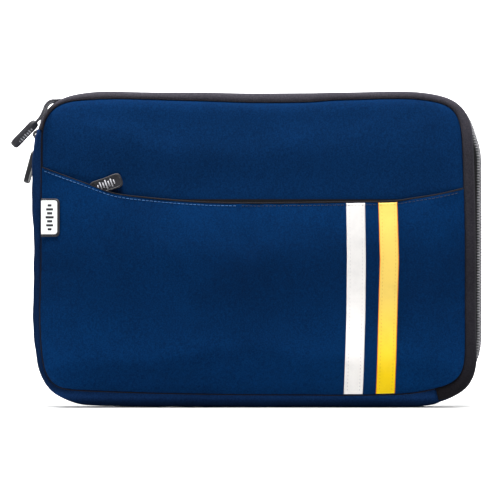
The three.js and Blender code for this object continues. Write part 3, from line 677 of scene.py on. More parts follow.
def cloth_moves(rest, faces, pinned, pressure, slack, cap, frames=20):
    """Blender's cloth on a skin that is held along its seams: how far each point moves, softly capped, in millimetres."""
    me = bpy.data.meshes.new("cloth")
    me.from_pydata((rest * 0.001).tolist(), [], [list(map(int, f)) for f in faces])
    o = bpy.data.objects.new("cloth", me)
    scene.collection.objects.link(o)
    o.vertex_groups.new(name="seam").add([int(i) for i in pinned], 1.0, "REPLACE")
    m = o.modifiers.new("cloth", "CLOTH")
    c = m.settings
    c.quality = 6
    c.mass = 0.3
    c.tension_stiffness = c.compression_stiffness = 12
    c.shear_stiffness = 7
    c.bending_stiffness = 1.2
    c.vertex_group_mass = "seam"
    c.use_pressure = True
    c.uniform_pressure_force = pressure
    c.shrink_min = -slack
    c.effector_weights.gravity = 0
    m.collision_settings.use_collision = False
    for f in range(1, frames + 1):
        scene.frame_set(f)
    done = o.evaluated_get(bpy.context.evaluated_depsgraph_get())
    co = np.empty(len(rest) * 3, np.float32)
    done.data.vertices.foreach_get("co", co)
    d = co.reshape(-1, 3).astype(float) * 1000 - rest
    bpy.data.objects.remove(o)
    scene.frame_set(1)
    size = np.linalg.norm(d, axis=1)[:, None] + 1e-9
    return d / size * cap * np.tanh(size / cap)


def settled(outline, centre, surface, facing, pressure, slack, cap, stations=120):
    """A panel's face as its padding settles it: ring shares, and the moves [ring, station] of its points."""
    ring = even(outline, stations, True)[0]
    shares = np.concatenate([[1.0, 0.985, 0.96, 0.935], np.linspace(0.905, 0.065, 21)])
    c = np.array(centre, float)
    flat = np.vstack([c + (ring - c) * s for s in shares] + [c[None]])
    rest = v3(flat[:, 0], surface(flat[:, 0], flat[:, 1]), flat[:, 1])
    faces = []
    for i in range(len(shares) - 1):
        for j in range(stations):
            a, k = i * stations, (j + 1) % stations
            faces.append((a + j, a + k, a + stations + k, a + stations + j))
    last = (len(shares) - 1) * stations
    faces += [(last + j, last + (j + 1) % stations, len(rest) - 1) for j in range(stations)]
    p = rest[list(faces[stations * 8][:3])]
    if np.cross(p[1] - p[0], p[2] - p[0])[1] * facing < 0:
        faces = [f[::-1] for f in faces]
    d = cloth_moves(rest, faces, range(stations), pressure, slack, cap)
    grid = d[:-1].reshape(len(shares), stations, 3)
    return np.append(shares, 0.0), np.concatenate([grid, np.broadcast_to(d[-1], (1, stations, 3))])


def spread(settling, shares, n):
    """The moves of a settled face at other rings and stations."""
    s0, g = settling
    m = g.shape[1]
    at = np.arange(n) * m / n
    lo = at.astype(int)
    w = (at - lo)[None, :, None]
    fine = g[:, lo % m] * (1 - w) + g[:, (lo + 1) % m] * w
    out = np.empty((len(shares), n, 3))
    for i, s in enumerate(shares):
        k = int(np.clip(np.searchsorted(-s0, -s), 1, len(s0) - 1))
        u = (s0[k - 1] - s) / (s0[k - 1] - s0[k])
        out[i] = fine[k - 1] * (1 - u) + fine[k] * u
    for _ in range(4):
        out = 0.25 * np.roll(out, 1, 1) + 0.5 * out + 0.25 * np.roll(out, -1, 1)
    for _ in range(2):
        out[1:-1] = 0.25 * out[:-2] + 0.5 * out[1:-1] + 0.25 * out[2:]
    out[0] = 0
    return out


def felt(o, fallback):
    """The y of a made piece's front at (x, z), in millimetres."""
    tree = BVHTree.FromPolygons([v.co[:] for v in o.data.vertices], [tuple(p.vertices) for p in o.data.polygons])

    def y(x, z):
        out = np.array(np.broadcast_to(fallback(x, z), np.broadcast(x, z).shape), float)
        xs, zs = np.broadcast_to(x, out.shape), np.broadcast_to(z, out.shape)
        for k in range(out.size):
            hit = tree.ray_cast(Vector((float(xs.flat[k]) / 1000, -0.1, float(zs.flat[k]) / 1000)), Vector((0, 1, 0)))[0]
            if hit is not None and abs(hit.y * 1000 - out.flat[k]) < 3.5:
                out.flat[k] = hit.y * 1000
        return out

    return y


inner = lambda d: F - FN * d
FRONT_CLOTH = settled(inner(0.15), (-4, 120), front_y, -1, 3.0, 0.0022, 1.5)
verts, faces = panel(inner(0.15), (-4, 120), front_y, 3.0, moves=FRONT_CLOTH, share_of=lambda x, z: (0.15 + 0.5 * ramp(z, 168, 198)) * (0.2 + 0.8 * ramp(dist_to_outline(np.stack([x, z], 1)), 3, 16)))
front = make("front_shell", verts, faces, NAVY, replaces=("front_panel_flap", "front_panel_lower"), slot="navy_neoprene")
fold(front)
BACK_CLOTH = settled(inner(0.15), (-4, 120), back_y, 1, 3.0, 0.0022, 1.6)
verts, faces = panel(inner(0.15), (-4, 120), back_y, -3.0, moves=BACK_CLOTH)
back = make("back_shell", verts, faces, NAVY, "shell", ("back_panel",), "navy_neoprene")

LSPAN = np.concatenate([[1.0, 0.98, 0.95], np.linspace(0.92, 0, 44)])
verts, faces = panel(inner(1.2), (-4, 120), lambda x, z: np.full(len(x), -8.85), 0.75, LSPAN)
lining_f = make("front_lining", verts, faces, LINING, replaces=("front_lining_flap", "front_lining_lower"), slot="lining_fleece")
fold(lining_f)
verts, faces = panel(inner(1.2), (-4, 120), lambda x, z: np.full(len(x), 8.85), -0.75, LSPAN)
make("inner_back_lining", verts, faces, LINING, "shell", ("back_lining",), "lining_fleece")

# ------------------------------------------------------------------ left and bottom gusset
def section(i, pts):
    """Points given as (outwards, y) at station i."""
    return [(F[i, 0] + FN[i, 0] * n, y, F[i, 1] + FN[i, 1] * n) for n, y in pts]


def oval(ys, ns, count):
    """Even points on a smooth line through (n, y) knots."""
    c = catmull(list(zip(ns, ys)), 10)
    return even(c, count)[0]


gus_rings, gus_flat = [], []
for a, i in enumerate(GUS):
    b = REACH[i]
    u = a / (len(GUS) - 1)
    low = ramp(-F[i, 1], -16, -9)  # along the bottom the middle is flat
    outer = oval(
        [-11.4, -11.9, -10.9, -8.6, -4.6, 0, 4.6, 8.6, 10.9, 11.9, 11.4],
        [-0.2, 0.35 * b * 0.6, 0.6 * b, (0.9 + 0.095 * low) * b, (0.985 + 0.015 * low) * b, b, (0.985 + 0.015 * low) * b, (0.9 + 0.06 * low) * b, 0.6 * b, 0.35 * b * 0.6, -0.2],
        27,
    )
    inner_ = oval([9.4, 8.2, 4, 0, -4, -8.2, -9.4], [-0.2, 0.3 * b, 0.66 * b, 0.7 * b, 0.66 * b, 0.3 * b, -0.2], 13)
    wob = 0.16 * math.sin(a * 0.33) * (1 - low) + 0.1 * math.sin(a * 0.71 + 1)
    pts = [(n + (wob if 0.5 * b < n else 0) * (1 - low), y) for n, y in outer] + [(n, y) for n, y in inner_]
    gus_rings.append(section(i, pts))
gus_rings = np.array(gus_rings)
skin = gus_rings[:, :27]
n_a, n_c = skin.shape[:2]
quads = [(i * n_c + j, i * n_c + j + 1, (i + 1) * n_c + j + 1, (i + 1) * n_c + j) for i in range(n_a - 1) for j in range(n_c - 1)]
flat = skin.reshape(-1, 3)
p = flat[list(quads[len(quads) // 2 + n_c // 2][:3])]
at = flat[quads[len(quads) // 2 + n_c // 2][0]]
if np.cross(p[1] - p[0], p[2] - p[0]) @ (at - np.array([-4, 0, 120])) < 0:
    quads = [q[::-1] for q in quads]
held = [i * n_c + j for i in range(n_a) for j in range(n_c) if j in (0, n_c - 1) or i in (0, n_a - 1)]
d = cloth_moves(flat, quads, held, 2.0, 0.004, 0.5).reshape(n_a, n_c, 3)
for _ in range(2):
    d[1:-1] = 0.25 * d[:-2] + 0.5 * d[1:-1] + 0.25 * d[2:]
moved = skin + d
moved[..., 2] = np.maximum(moved[..., 2], 0.3)
gus_rings[:, :27] = moved
verts, faces = loft(gus_rings)
# the gusset's colour carries painted shade at the floor and painted light above it
gusset = make("side_band", verts, faces, BAND_PAINTED_LIGHT, "shell", ("side_gusset",), "navy_neoprene")


def rope(points, radius, sides=8, closed=False, squash=1.0):
    """A tube along 3-D points in millimetres."""
    p = np.asarray(points, float)
    t = np.gradient(p, axis=0) if not closed else np.roll(p, -1, 0) - np.roll(p, 1, 0)
    t /= np.linalg.norm(t, axis=1)[:, None]
    up = np.array([0, 1, 0.0]) if abs(t[0][1]) < 0.9 else np.array([1, 0, 0.0])
    nrm = up - t[0] * (up @ t[0])
    nrm /= np.linalg.norm(nrm)
    rings = []
    rad = np.broadcast_to(radius, len(p))
    for i in range(len(p)):
        nrm = nrm - t[i] * (nrm @ t[i])
        nrm /= np.linalg.norm(nrm)
        bi = np.cross(t[i], nrm)
        rings.append([p[i] + rad[i] * (math.cos(a) * nrm * squash + math.sin(a) * bi) for a in np.linspace(0, 2 * math.pi, sides, endpoint=False)])
    return loft(rings, closed_path=closed, caps=not closed)


def along_f(indices, n, y):
    n = np.broadcast_to(n, len(indices))
    y = np.broadcast_to(y, len(indices))
    return np.array([(F[i, 0] + FN[i, 0] * n[k], y[k], F[i, 1] + FN[i, 1] * n[k]) for k, i in enumerate(indices)])


# dark ropes along the sunken seams where the gusset meets the two panels: painted shadow in the seam grooves
verts, faces = join([rope(along_f(GUS, 0.05, -11.3), 0.95), rope(along_f(GUS, 0.1, 11.15), 0.8)])
make("gusset_seams", verts, faces, SEAM_SHADOW, "shell")

# ------------------------------------------------------------------ zip side: rolled trim, tapes, back strip
trim_rings, tape_f, tape_b, strip_rings, chain_pts, chain_tilt = [], [], [], [], [], []
for a, i in enumerate(ZIP):
    T, c, r = TRIM[i], C_REACH[i], RIGHT[i]
    end = min(1.0, (a + 1) / 8)  # the roll tapers into the gusset at the top left
    T = T * (0.55 + 0.45 * end)
    outer = oval([-10.6, -11.9, -12.9, -12.7, -11.2, -8.8, -6.9, -6.15], [-0.5, 0.15, 0.25 * T, 0.55 * T, 0.86 * T, T, 0.97 * T, 0.84 * T], 20)
    back_side = oval([-6.7, -8.4, -9.6], [0.55 * T, 0.2 * T, -0.5], 6)
    trim_rings.append(section(i, list(map(tuple, outer)) + list(map(tuple, back_side))))
    tilt = math.radians(30) * r
    cy = CHAIN_Y
    # front tape runs from under the roll to the chain's front edge, and its twin to the back strip
    half = 3.5
    fn_, fy = c - half * math.sin(tilt), cy - half * math.cos(tilt)
    bn_, by = c + half * math.sin(tilt), cy + half * math.cos(tilt)
    inn = c - 1.15 * math.sin(tilt)
    tape_f.append(section(i, [(0.80 * T, -6.35), (fn_, fy), (c - 0.9 * math.sin(tilt), cy - 0.9 * math.cos(tilt)), (c - 0.9 * math.sin(tilt) - 0.45, cy - 0.9 * math.cos(tilt)), (fn_ - 0.45, fy), (0.80 * T - 0.45, -6.6)]))
    P = max(REACH[i] + 0.35, 0.9 * T)
    tape_b.append(section(i, [(c + 0.9 * math.sin(tilt), cy + 0.9 * math.cos(tilt)), (bn_, by), (max(bn_, 0.8 * P), 5.6), (max(bn_, 0.8 * P) - 0.5, 5.7), (bn_ - 0.5, by), (c + 0.9 * math.sin(tilt) - 0.5, cy + 0.9 * math.cos(tilt))]))
    s_out = oval([5.0, 5.1, 6.4, 8.6, 10.9, 11.9, 10.6], [max(bn_, 0.8 * P) - 0.2, max(bn_, 0.8 * P) + 0.7, P, 0.96 * P, 0.6 * P, 0.2 * P, -0.5], 20)
    s_in = oval([8.9, 7.6, 6.0], [-0.3, 0.45 * P, max(bn_, 0.8 * P) - 1.1], 7)
    strip_rings.append(section(i, list(map(tuple, s_out)) + list(map(tuple, s_in))))
    chain_pts.append((F[i, 0] + FN[i, 0] * c, cy, F[i, 1] + FN[i, 1] * c))
    chain_tilt.append(tilt)
chain_pts = np.array(chain_pts)
chain_tilt = np.array(chain_tilt)
chain_n = FN[ZIP]

verts, faces = loft(trim_rings)
# the trim's colour carries painted light at its top and painted shade low down
trim = make("rolled_trim", verts, faces, TRIM_PAINTED_TOPLIGHT, replaces=("front_trim_flap", "front_trim_lower"), slot="charcoal_trim")
fold(trim)
verts, faces = loft(tape_f)
o = make("front_tape", verts, faces, TAPE, replaces=("front_zip_tape_flap", "front_zip_tape_lower"), slot="zip_tape")
fold(o)
verts, faces = loft(tape_b)
make("rear_tape", verts, faces, TAPE, "shell", ("back_zip_tape",), "zip_tape")
verts, faces = loft(strip_rings)
# the back band uses the navy's darker copy: painted shade
strip = make("back_band", verts, faces, NAVY_SIDE_SHADED, "shell", ("zip_back_gusset",), "navy_neoprene")
# dark ropes along the trim's seam and the back seam: painted shadow in the seam grooves
verts, faces = rope(along_f(ZIP, 0.3, -11.3), 0.5)
fold(make("trim_seam", verts, faces, SEAM_SHADOW))
verts, faces = rope(along_f(ZIP, 0.1, 11.3), 0.6)
make("back_seam", verts, faces, SEAM_SHADOW, "shell")

# ------------------------------------------------------------------ zip coils: one loop of nylon for each tooth
PITCH = 2.1


def resample_chain():
    seg = np.linalg.norm(np.diff(chain_pts, axis=0), axis=1)
    s = np.concatenate([[0], np.cumsum(seg)])
    count = int(s[-1] / PITCH)
    at = (np.arange(count) + 0.5) * PITCH
    p = np.stack([np.interp(at, s, chain_pts[:, k]) for k in range(3)], 1)
    n2 = np.stack([np.interp(at, s, chain_n[:, k]) for k in range(2)], 1)
    n2 /= np.linalg.norm(n2, axis=1)[:, None]
    tl = np.interp(at, s, chain_tilt)
    return p, n2, tl, s[-1]


TOOTH_PATH = [(3.35, -0.35), (3.1, 0.35), (2.2, 0.78), (0.9, 0.92), (-0.35, 0.8), (-0.8, 0.2), (-0.4, -0.3)]  # across the chain, and out of it


def teeth(side, shift):
    p, n2, tl, _ = TEETH
    parts = []
    path = even(catmull(TOOTH_PATH, 4), 9)[0]
    for k in range(len(p)):
        out = np.array([n2[k, 0] * math.cos(tl[k]), -math.sin(tl[k]), n2[k, 1] * math.cos(tl[k])])
        across = np.array([n2[k, 0] * math.sin(tl[k]), math.cos(tl[k]), n2[k, 1] * math.sin(tl[k])]) * side
        fwd = np.array([n2[k, 1], 0, -n2[k, 0]])
        rows = []
        for j, (u, h) in enumerate(path):
            lean = (j / (len(path) - 1) - 0.5) * 0.5
            rows.append(p[k] + across * u + out * h + fwd * (shift + lean))
        parts.append(rope(rows, 0.38, 6))
    return join(parts)


TEETH = resample_chain()
front_teeth = make("front_coil_teeth", *teeth(-1, -PITCH / 4), COIL, replaces=("front_coil_flap", "front_coil_lower"), slot="zip_coil")
fold(front_teeth)
make("back_coil_teeth", *teeth(1, PITCH / 4), COIL, "shell", ("back_coil",), "zip_coil")


# ------------------------------------------------------------------ stitches
def stitches(points, normals, length=2.1, gap=0.55, radius=0.2, lift=0.05, sink=0.35):
    """Short rounded threads that dip into the cloth at their ends."""
    pts = np.asarray(points, float)
    nr = np.asarray(normals, float)
    s = np.concatenate([[0], np.cumsum(np.linalg.norm(np.diff(pts, axis=0), axis=1))])
    parts = []
    at = 0.2
    while at + length < s[-1]:
        u = at + length * np.linspace(0, 1, 6)
        q = np.stack([np.interp(u, s, pts[:, k]) for k in range(3)], 1)
        m = np.stack([np.interp(u, s, nr[:, k]) for k in range(3)], 1)
        h = lift - sink * (np.abs(np.linspace(-1, 1, 6)) ** 3)
        parts.append(rope(q + m * h[:, None], np.array([0.55, 0.95, 1, 1, 0.95, 0.55]) * radius, 6))
        at += length + gap
    return join(parts)


def surf_line(fn, xz):
    """3-D points and outward normals of a surface y = fn(x, z) that faces -Y, along a line."""
    xz = np.asarray(xz, float)
    e = 0.4
    y = fn(xz[:, 0], xz[:, 1])
    gx = (fn(xz[:, 0] + e, xz[:, 1]) - fn(xz[:, 0] - e, xz[:, 1])) / (2 * e)
    gz = (fn(xz[:, 0], xz[:, 1] + e) - fn(xz[:, 0], xz[:, 1] - e)) / (2 * e)
    n = np.stack([gx, -np.ones(len(gx)), gz], 1)
    n /= np.linalg.norm(n, axis=1)[:, None]
    return np.stack([xz[:, 0], y, xz[:, 1]], 1), n


# ------------------------------------------------------------------ pocket
LIP = even(catmull(LIP_RAW, 16), 160)[0]
LIP = smooth_loop(LIP, 8, closed=False)
iL, iR = nearest(LIP[0]), nearest(LIP[-1])
low_edge = [i % PERIM for i in range(iR, iL + (PERIM if iL < iR else 0) + 1)]
poly = np.vstack([LIP[1:-1], F[low_edge] - FN[low_edge] * 0.1])
poly, _ = even(poly, 520, True)
POCKET_CLOTH = settled(poly, (-4, 78), pocket_y, -1, 3.0, 0.003, 1.5)
verts, faces = panel(poly, (-4, 78), pocket_y, 1.9, thin_edge=0.8, moves=POCKET_CLOTH)
# the pocket's colour carries painted light low down and below the lip
pocket = make("pocket_front", verts, faces, POCKET_PAINTED_LIGHT, "shell", ("pocket_panel",), "navy_neoprene")
pocket_face = felt(pocket, pocket_y)

lip_y = pocket_y(LIP[:, 0], LIP[:, 1])
rings = []
for k in range(len(LIP)):
    x, z, y = LIP[k, 0], LIP[k, 1], lip_y[k]
    pts = [(0.9, -0.65), (-0.3, -0.65), (-0.42, -0.15), (-0.35, 0.3), (0.1, 0.6), (0.9, 0.68), (1.7, 0.6), (2.25, 0.25), (2.3, -0.3), (2.2, -0.65)]
    slim = 0.62 + 0.38 * float(ramp(x, -120, -60))
    rings.append([(x, y + a, z + b * slim) for a, b in pts])
verts, faces = loft(rings)
make("lip_tape", verts, faces, BINDING, "shell", ("pocket_lip_binding",), "zip_tape")
line, nrm = surf_line(pocket_face, LIP[1:-1] - np.array([0, 2.3]))
cut = int(len(line) * 0.48)
make("lip_stitches_left", *stitches(line[:cut], nrm[:cut], 2.3, 0.7, 0.26, lift=0.2), THREAD, "shell")
# the right half of the lip stitches uses the thread's dark copy: painted shade in the stitch line
make("lip_stitches_right", *stitches(line[cut:], nrm[cut:], 2.3, 0.7, 0.26, lift=0.1), THREAD_LIP_SHADED, "shell")


def strap(x0, x1, top_drop, material, name, node, slot, thick=0.55, cols=15, rows=120, lean=None):
    """A ribbon sewn onto the pocket from its lip to the bottom seam."""
    grid_f, grid_b = [], []
    for r in range(rows + 1):
        v = r / rows
        for k in range(cols + 1):
            u = k / cols
            zt = np.interp(x0 + (x1 - x0) * u, LIP[:, 0], LIP[:, 1]) - top_drop
            zb = np.interp(x0 + (x1 - x0) * u, F[GUS][::-1, 0][np.argsort(F[GUS][::-1, 0])], F[GUS][::-1, 1][np.argsort(F[GUS][::-1, 0])]) + 0.5
            z = zt + (zb - zt) * v
            x = x0 + (x1 - x0) * u + (lean(z) if lean else 0)
            grid_f.append((x, z, u, v))
    g = np.array(grid_f)
    y = pocket_face(g[:, 0], g[:, 1])
    edge = np.minimum(g[:, 2], 1 - g[:, 2]) * (x1 - x0)
    tops = g[:, 3] * 140
    lift = thick * np.clip(1 - np.exp(-np.minimum(edge, tops) / 0.25), 0, 1)
    stitch = 0.22 * (np.exp(-(((edge - 2.2) / 0.5) ** 2)) + np.exp(-(((tops - 2.6) / 0.5) ** 2)))
    pucker = 0.05 * np.sin(g[:, 1] * 2.4) * np.exp(-(((edge - 2.2) / 1.2) ** 2))
    yf = y - 0.12 - lift + stitch + pucker
    n = len(g)
    verts = np.vstack([v3(g[:, 0], yf, g[:, 1]), v3(g[:, 0], y + 0.35, g[:, 1])])
    w = cols + 1
    faces = []
    for r in range(rows):
        for k in range(cols):
            a = r * w + k
            faces.append((a, a + 1, a + w + 1, a + w))
            faces.append((n + a, n + a + w, n + a + w + 1, n + a + 1))
    rim = [k for k in range(w)] + [r * w + cols for r in range(1, rows + 1)] + [rows * w + k for k in range(cols - 1, -1, -1)] + [r * w for r in range(rows - 1, 0, -1)]
    for a, b in zip(rim, rim[1:] + rim[:1]):
        faces.append((a, b, n + b, n + a))
    return make(name, verts, faces, material, "shell", (node,), slot)


def white_lean(z):
    return np.interp(z, [10, 72, 112, 154], [-1.7, 0.1, 0.4, 0.0])


def yellow_lean(z):
    return np.interp(z, [10, 66, 112, 155], [-1.7, -0.2, 1.0, 0.0])


WX0, WX1 = px([(346.2, 0), (365.0, 0)])[0][0], px([(346.2, 0), (365.0, 0)])[1][0]
YX0, YX1 = px([(378.2, 0), (397.3, 0)])[0][0], px([(378.2, 0), (397.3, 0)])[1][0]
strap(WX0, WX1, 0.9, WHITE, "white_strap", "white_stripe", "white_tape", lean=white_lean)
strap(YX0, YX1, 0.9, YELLOW, "yellow_strap", "yellow_stripe", "yellow_tape", lean=yellow_lean)


def strap_y(x, z):
    return pocket_face(x, z) - 0.45


def strap_stitches(x0, x1, lean, inset, top):
    parts = []
    for x in (x0 + inset, x1 - inset):
        z = np.linspace(top, 12.2, 240)
        line, nrm = surf_line(strap_y, np.stack([x + lean(z), z], 1))
        parts.append(stitches(line, nrm, 2.5, 0.3, 0.16))
    return join(parts)


def strap_top(x0, x1, lean):
    x = np.linspace(x0 + 0.6, x1 - 0.6, 20)
    z = np.interp(x, LIP[:, 0], LIP[:, 1]) - 2.5
    line, nrm = surf_line(strap_y, np.stack([x + lean(z), z], 1))
    return stitches(line, nrm, 2.1, 0.5, 0.19)


make("white_strap_stitches", *strap_stitches(WX0, WX1, white_lean, 2.5, 151.2), THREAD_WHITE, "shell")
make("yellow_strap_stitches", *strap_stitches(YX0, YX1, yellow_lean, 2.5, 152.0), THREAD_YELLOW, "shell")
# the white strap's top stitches use the thread's dark copy: painted shade
make("white_strap_top_stitches", *strap_top(WX0, WX1, white_lean), THREAD_STRAP_SHADED, "shell")
make("yellow_strap_top_stitches", *strap_top(YX0, YX1, yellow_lean), THREAD_YELLOW, "shell")

# ------------------------------------------------------------------ side label
def label_outline(x0, x1, z0, z1, r, n=10):
    pts = [(x0, z0)]
    pts += [(x1 - r + r * math.cos(a), z0 + r + r * math.sin(a)) for a in np.linspace(-math.pi / 2, 0, n)]
    pts += [(x1 - r + r * math.cos(a), z1 - r + r * math.sin(a)) for a in np.linspace(0, math.pi / 2, n)]
    pts += [(x0, z1)]
    return even(np.array(pts), 96, True)[0]


def label_y(x, z):
    return pocket_face(np.maximum(x, -157.5), z)


lx0, lx1, lz0, lz1 = -161.9, -147.6, 129.0, 157.9


def label_piece(name, outline, lift, thick, material, node, slot, dome=0.3):
    c = outline.mean(0)
    rows = [c + (outline - c) * s for s in (1.0, 0.97, 0.9, 0.8, 0.6, 0.4, 0.2)]
    flat = np.vstack(rows + [c[None]])
    n = len(outline)
    share = np.concatenate([np.full(n, s) for s in (1.0, 0.97, 0.9, 0.8, 0.6, 0.4, 0.2)] + [[0]])
    y = label_y(flat[:, 0], flat[:, 1]) - lift
    yf = y - thick * np.clip((1 - share) / 0.03, 0, 1) ** 0.5 - dome * 0
    total = len(flat)
    verts = np.vstack([v3(flat[:, 0], yf, flat[:, 1]), v3(flat[:, 0], y + 0.5, flat[:, 1])])
    faces = []
    for off in (0, total):
        for i in range(6):
            for j in range(n):
                k = (j + 1) % n
                faces.append((off + i * n + j, off + i * n + k, off + (i + 1) * n + k, off + (i + 1) * n + j))
        for j in range(n):
            faces.append((off + 6 * n + j, off + 6 * n + (j + 1) % n, off + total - 1))
    for j in range(n):
        faces.append((j, total + j, total + (j + 1) % n, (j + 1) % n))
    return make(name, verts, faces, material, "shell", (node,) if node else (), slot)


label_piece("label_frame", label_outline(lx0, lx1, lz0, lz1, 3.4), 0.35, 0.9, RUBBER_DARK, "side_label_frame", "moulded_rubber")
label_piece("label_plate", label_outline(lx0 + 0.1, lx1 - 1.8, lz0 + 1.8, lz1 - 1.4, 2.1), 1.1, 0.35, LABEL_WHITE, "side_label_insert", "white_tape")
# a plain generic motif: a ladder of short bars of different lengths
bars = []
for k, hh in enumerate([3.0, 5.4, 4.0, 6.2, 4.0, 5.4, 3.0]):
    zc, xc = (lz0 + lz1) / 2 + 0.3 + (k - 3) * 3.0, -155.3
    ring = []
    for z in np.linspace(zc - 0.85, zc + 0.85, 5):
        ring.append([(xc + a * hh / 2, label_y(np.array([xc + a * hh / 2]), np.array([z]))[0] - 1.47 - b * 0.12, z) for a, b in [(-1, 0), (-0.92, 1), (0, 1), (0.92, 1), (1, 0), (0.9, -2), (-0.9, -2)]])
    bars.append(loft(ring))
make("label_bars", *join(bars), RUBBER, "shell")

# ------------------------------------------------------------------ sliders, wires, cords, pull tabs
for node, mat_ in (("top_zip_slider", METAL), ("corner_zip_slider", METAL), ("pocket_zip_slider", METAL), ("top_pull_wire", METAL), ("corner_pull_wire", METAL), ("pocket_pull_wire", METAL)):
    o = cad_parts[node]
    o.data.materials.clear()
    o.data.materials.append(mat_)
    if "slider" in node:
        bevel(o, 0.25, 2, 40)
for node, mat_ in (("pocket_coil_upper", COIL), ("pocket_coil_lower", COIL), ("pocket_zip_tape_upper", TAPE), ("pocket_zip_tape_lower", TAPE)):
    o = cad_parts[node]
    o.data.materials.clear()
    o.data.materials.append(mat_)


def tab_mesh(length, width, thick):
    """Moulded tongue with round ends, a raised rim, a sunk face and grip ribs, along -X from its cord end, broad in Y."""
    w = width / 2
    nose = [(0.3, 0.42 * w), (0.0, 0.62 * w), (-1.4, 0.9 * w), (-3.2, w), (-length * 0.5, w * 0.98), (-length + 3.4, w), (-length + 1.2, w * 0.86), (-length + 0.25, w * 0.55), (-length, 0.0)]
    side = even(catmull(nose, 10), 40)[0]
    outline = np.vstack([side, (side * [1, -1])[::-1][1:]])
    outline, _ = even(outline, 96, True)
    c = np.array([-length / 2, 0])
    h = thick / 2
    levels = [(1.0, 0.0), (0.995, 0.45), (0.965, 0.8), (0.91, 1.0), (0.84, 1.0), (0.80, 0.93), (0.775, 0.78), (0.72, 0.76), (0.5, 0.76), (0.25, 0.76)]

    def shrink(s):
        inset = (1 - s) * w
        d = outline - c
        k = np.array([(length / 2 - inset) / (length / 2), (w - inset) / w])
        return c + d * k

    n = len(outline)
    verts, faces = [], []
    rings = [(s, -z) for s, z in levels[::-1]] + [(s, z) for s, z in levels[1:]]
    for s, z in rings:
        q = shrink(s)
        for x, y in q:
            ribz = 0.0
            if s <= 0.75 and -length * 0.8 < x < -length * 0.2:
                ribz = 0.12 * max(0.0, math.sin((x + length * 0.2) * 2 * math.pi / 3.0)) * h
            verts.append((x, y, (z * h + (ribz if z > 0 else -ribz))))
    m = len(rings)
    for i in range(m - 1):
        for j in range(n):
            k = (j + 1) % n
            faces.append((i * n + j, i * n + k, (i + 1) * n + k, (i + 1) * n + j))
    faces.append(tuple(range(n - 1, -1, -1)))
    faces.append(tuple(range((m - 1) * n, m * n)))
    return np.array(verts), faces


def turned(verts, matrix):
    v = np.c_[verts, np.ones(len(verts))]
    return (v @ np.array(matrix).T)[:, :3]


def about_y(deg_):
    return Matrix.Rotation(math.radians(deg_), 4, "Y")


def tab_marks(length, width, thick, sides=(1,)):
    """A generic row of light bars, printed on the sunk face of a tab."""
    parts = []
    for side in sides:
        z = side * thick / 2 * 0.76
        for k, hw in enumerate([0.16, 0.3, 0.2, 0.34, 0.2, 0.3, 0.16]):
            x = -length / 2 + (k - 3) * 2.1
            rows = [[(x + a, b * hw * width, z + side * c) for b, c in ((-1, 0.02), (-0.94, 0.34), (0.94, 0.34), (1, 0.02), (0.9, -0.3), (-0.9, -0.3))] for a in (-0.42, -0.38, 0.38, 0.42)]
            parts.append(loft(rows))
    return join(parts)


v, f = tab_mesh(25, 10.5, 3.6)
make("upper_pull", turned(v, Matrix.Translation((-165.5, -18.6, 215.4)) @ about_y(-46.2) @ Matrix.Rotation(math.radians(-18), 4, "X")), f, RUBBER, "top_tab", ("top_pull_tab",), "moulded_rubber")
v, f = tab_marks(25, 10.5, 3.6, (-1, 1))
make("upper_pull_marks", turned(v, Matrix.Translation((-165.5, -18.6, 215.4)) @ about_y(-46.2) @ Matrix.Rotation(math.radians(-18), 4, "X")), f, PRINT, "top_tab")
v, f = tab_mesh(25, 9.6, 3.6)
make("lower_pull", turned(v, Matrix.Translation((-169.2, 17.8, 194.4)) @ about_y(-75) @ Matrix.Rotation(math.radians(-8), 4, "X")), f, RUBBER, "corner_tab", ("corner_pull_tab",), "moulded_rubber")
turn = Matrix.Translation((-124.4, -15.7, 164.2)) @ about_y(-20) @ Matrix.Rotation(math.pi / 2, 4, "X") @ Matrix.Rotation(math.pi, 4, "Z")
v, f = tab_mesh(25, 11, 3.4)
make("pocket_pull", turned(v, turn), f, RUBBER, "pocket_tab", ("pocket_pull_tab",), "moulded_rubber")
v, f = tab_marks(25, 11, 3.4, (-1, 1))
make("pocket_pull_marks", turned(v, turn), f, PRINT, "pocket_tab")


def braided(points, radius, strands=6, turn=5.2, twin=0.0):
    """Cord made of strands that wind round a core, so that its outline is gently ribbed; a twin lies alongside where the cord is doubled."""
    if twin:
        p = even(catmull(points, 14), 60)[0]
        t = np.gradient(p, axis=0)
        t /= np.linalg.norm(t, axis=1)[:, None]
        side = np.cross(t, np.array([0, -1.0, 0]))
        side /= np.linalg.norm(side, axis=1)[:, None]
        gap = twin * np.clip(np.sin(np.linspace(0, math.pi, len(p))) * 1.6, 0.12, 1)[:, None]
        keep = list(range(0, len(p) - 3, 4)) + [len(p) - 1]
        return join([braided((p + side * gap)[keep], radius * 0.86), braided((p - side * gap)[keep], radius * 0.86)])
    p, length = even(catmull(points, 14), 10)
    p, length = even(catmull(points, 14), max(24, int(length / 0.5)))
    core = rope(p, radius * 0.8, 10)
    t = np.gradient(p, axis=0)
    t /= np.linalg.norm(t, axis=1)[:, None]
    nrm = np.array([0, 1, 0.0])
    frames = []
    for i in range(len(p)):
        nrm = nrm - t[i] * (nrm @ t[i])
        nrm /= np.linalg.norm(nrm)
        frames.append((nrm.copy(), np.cross(t[i], nrm)))
    parts = [core]
    s = np.linspace(0, length, len(p))
    for hand in (1, -1):
        for k in range(strands // 2):
            a = hand * 2 * math.pi * s / turn + k * 2 * math.pi / (strands // 2) + (0.5 if hand < 0 else 0)
            wave = 0.06 * np.cos(2 * a)
            q = np.array([p[i] + (radius * 0.74 + wave[i]) * (math.cos(a[i]) * frames[i][0] + math.sin(a[i]) * frames[i][1]) for i in range(len(p))])
            parts.append(rope(q, radius * 0.3, 6))
    return join(parts)


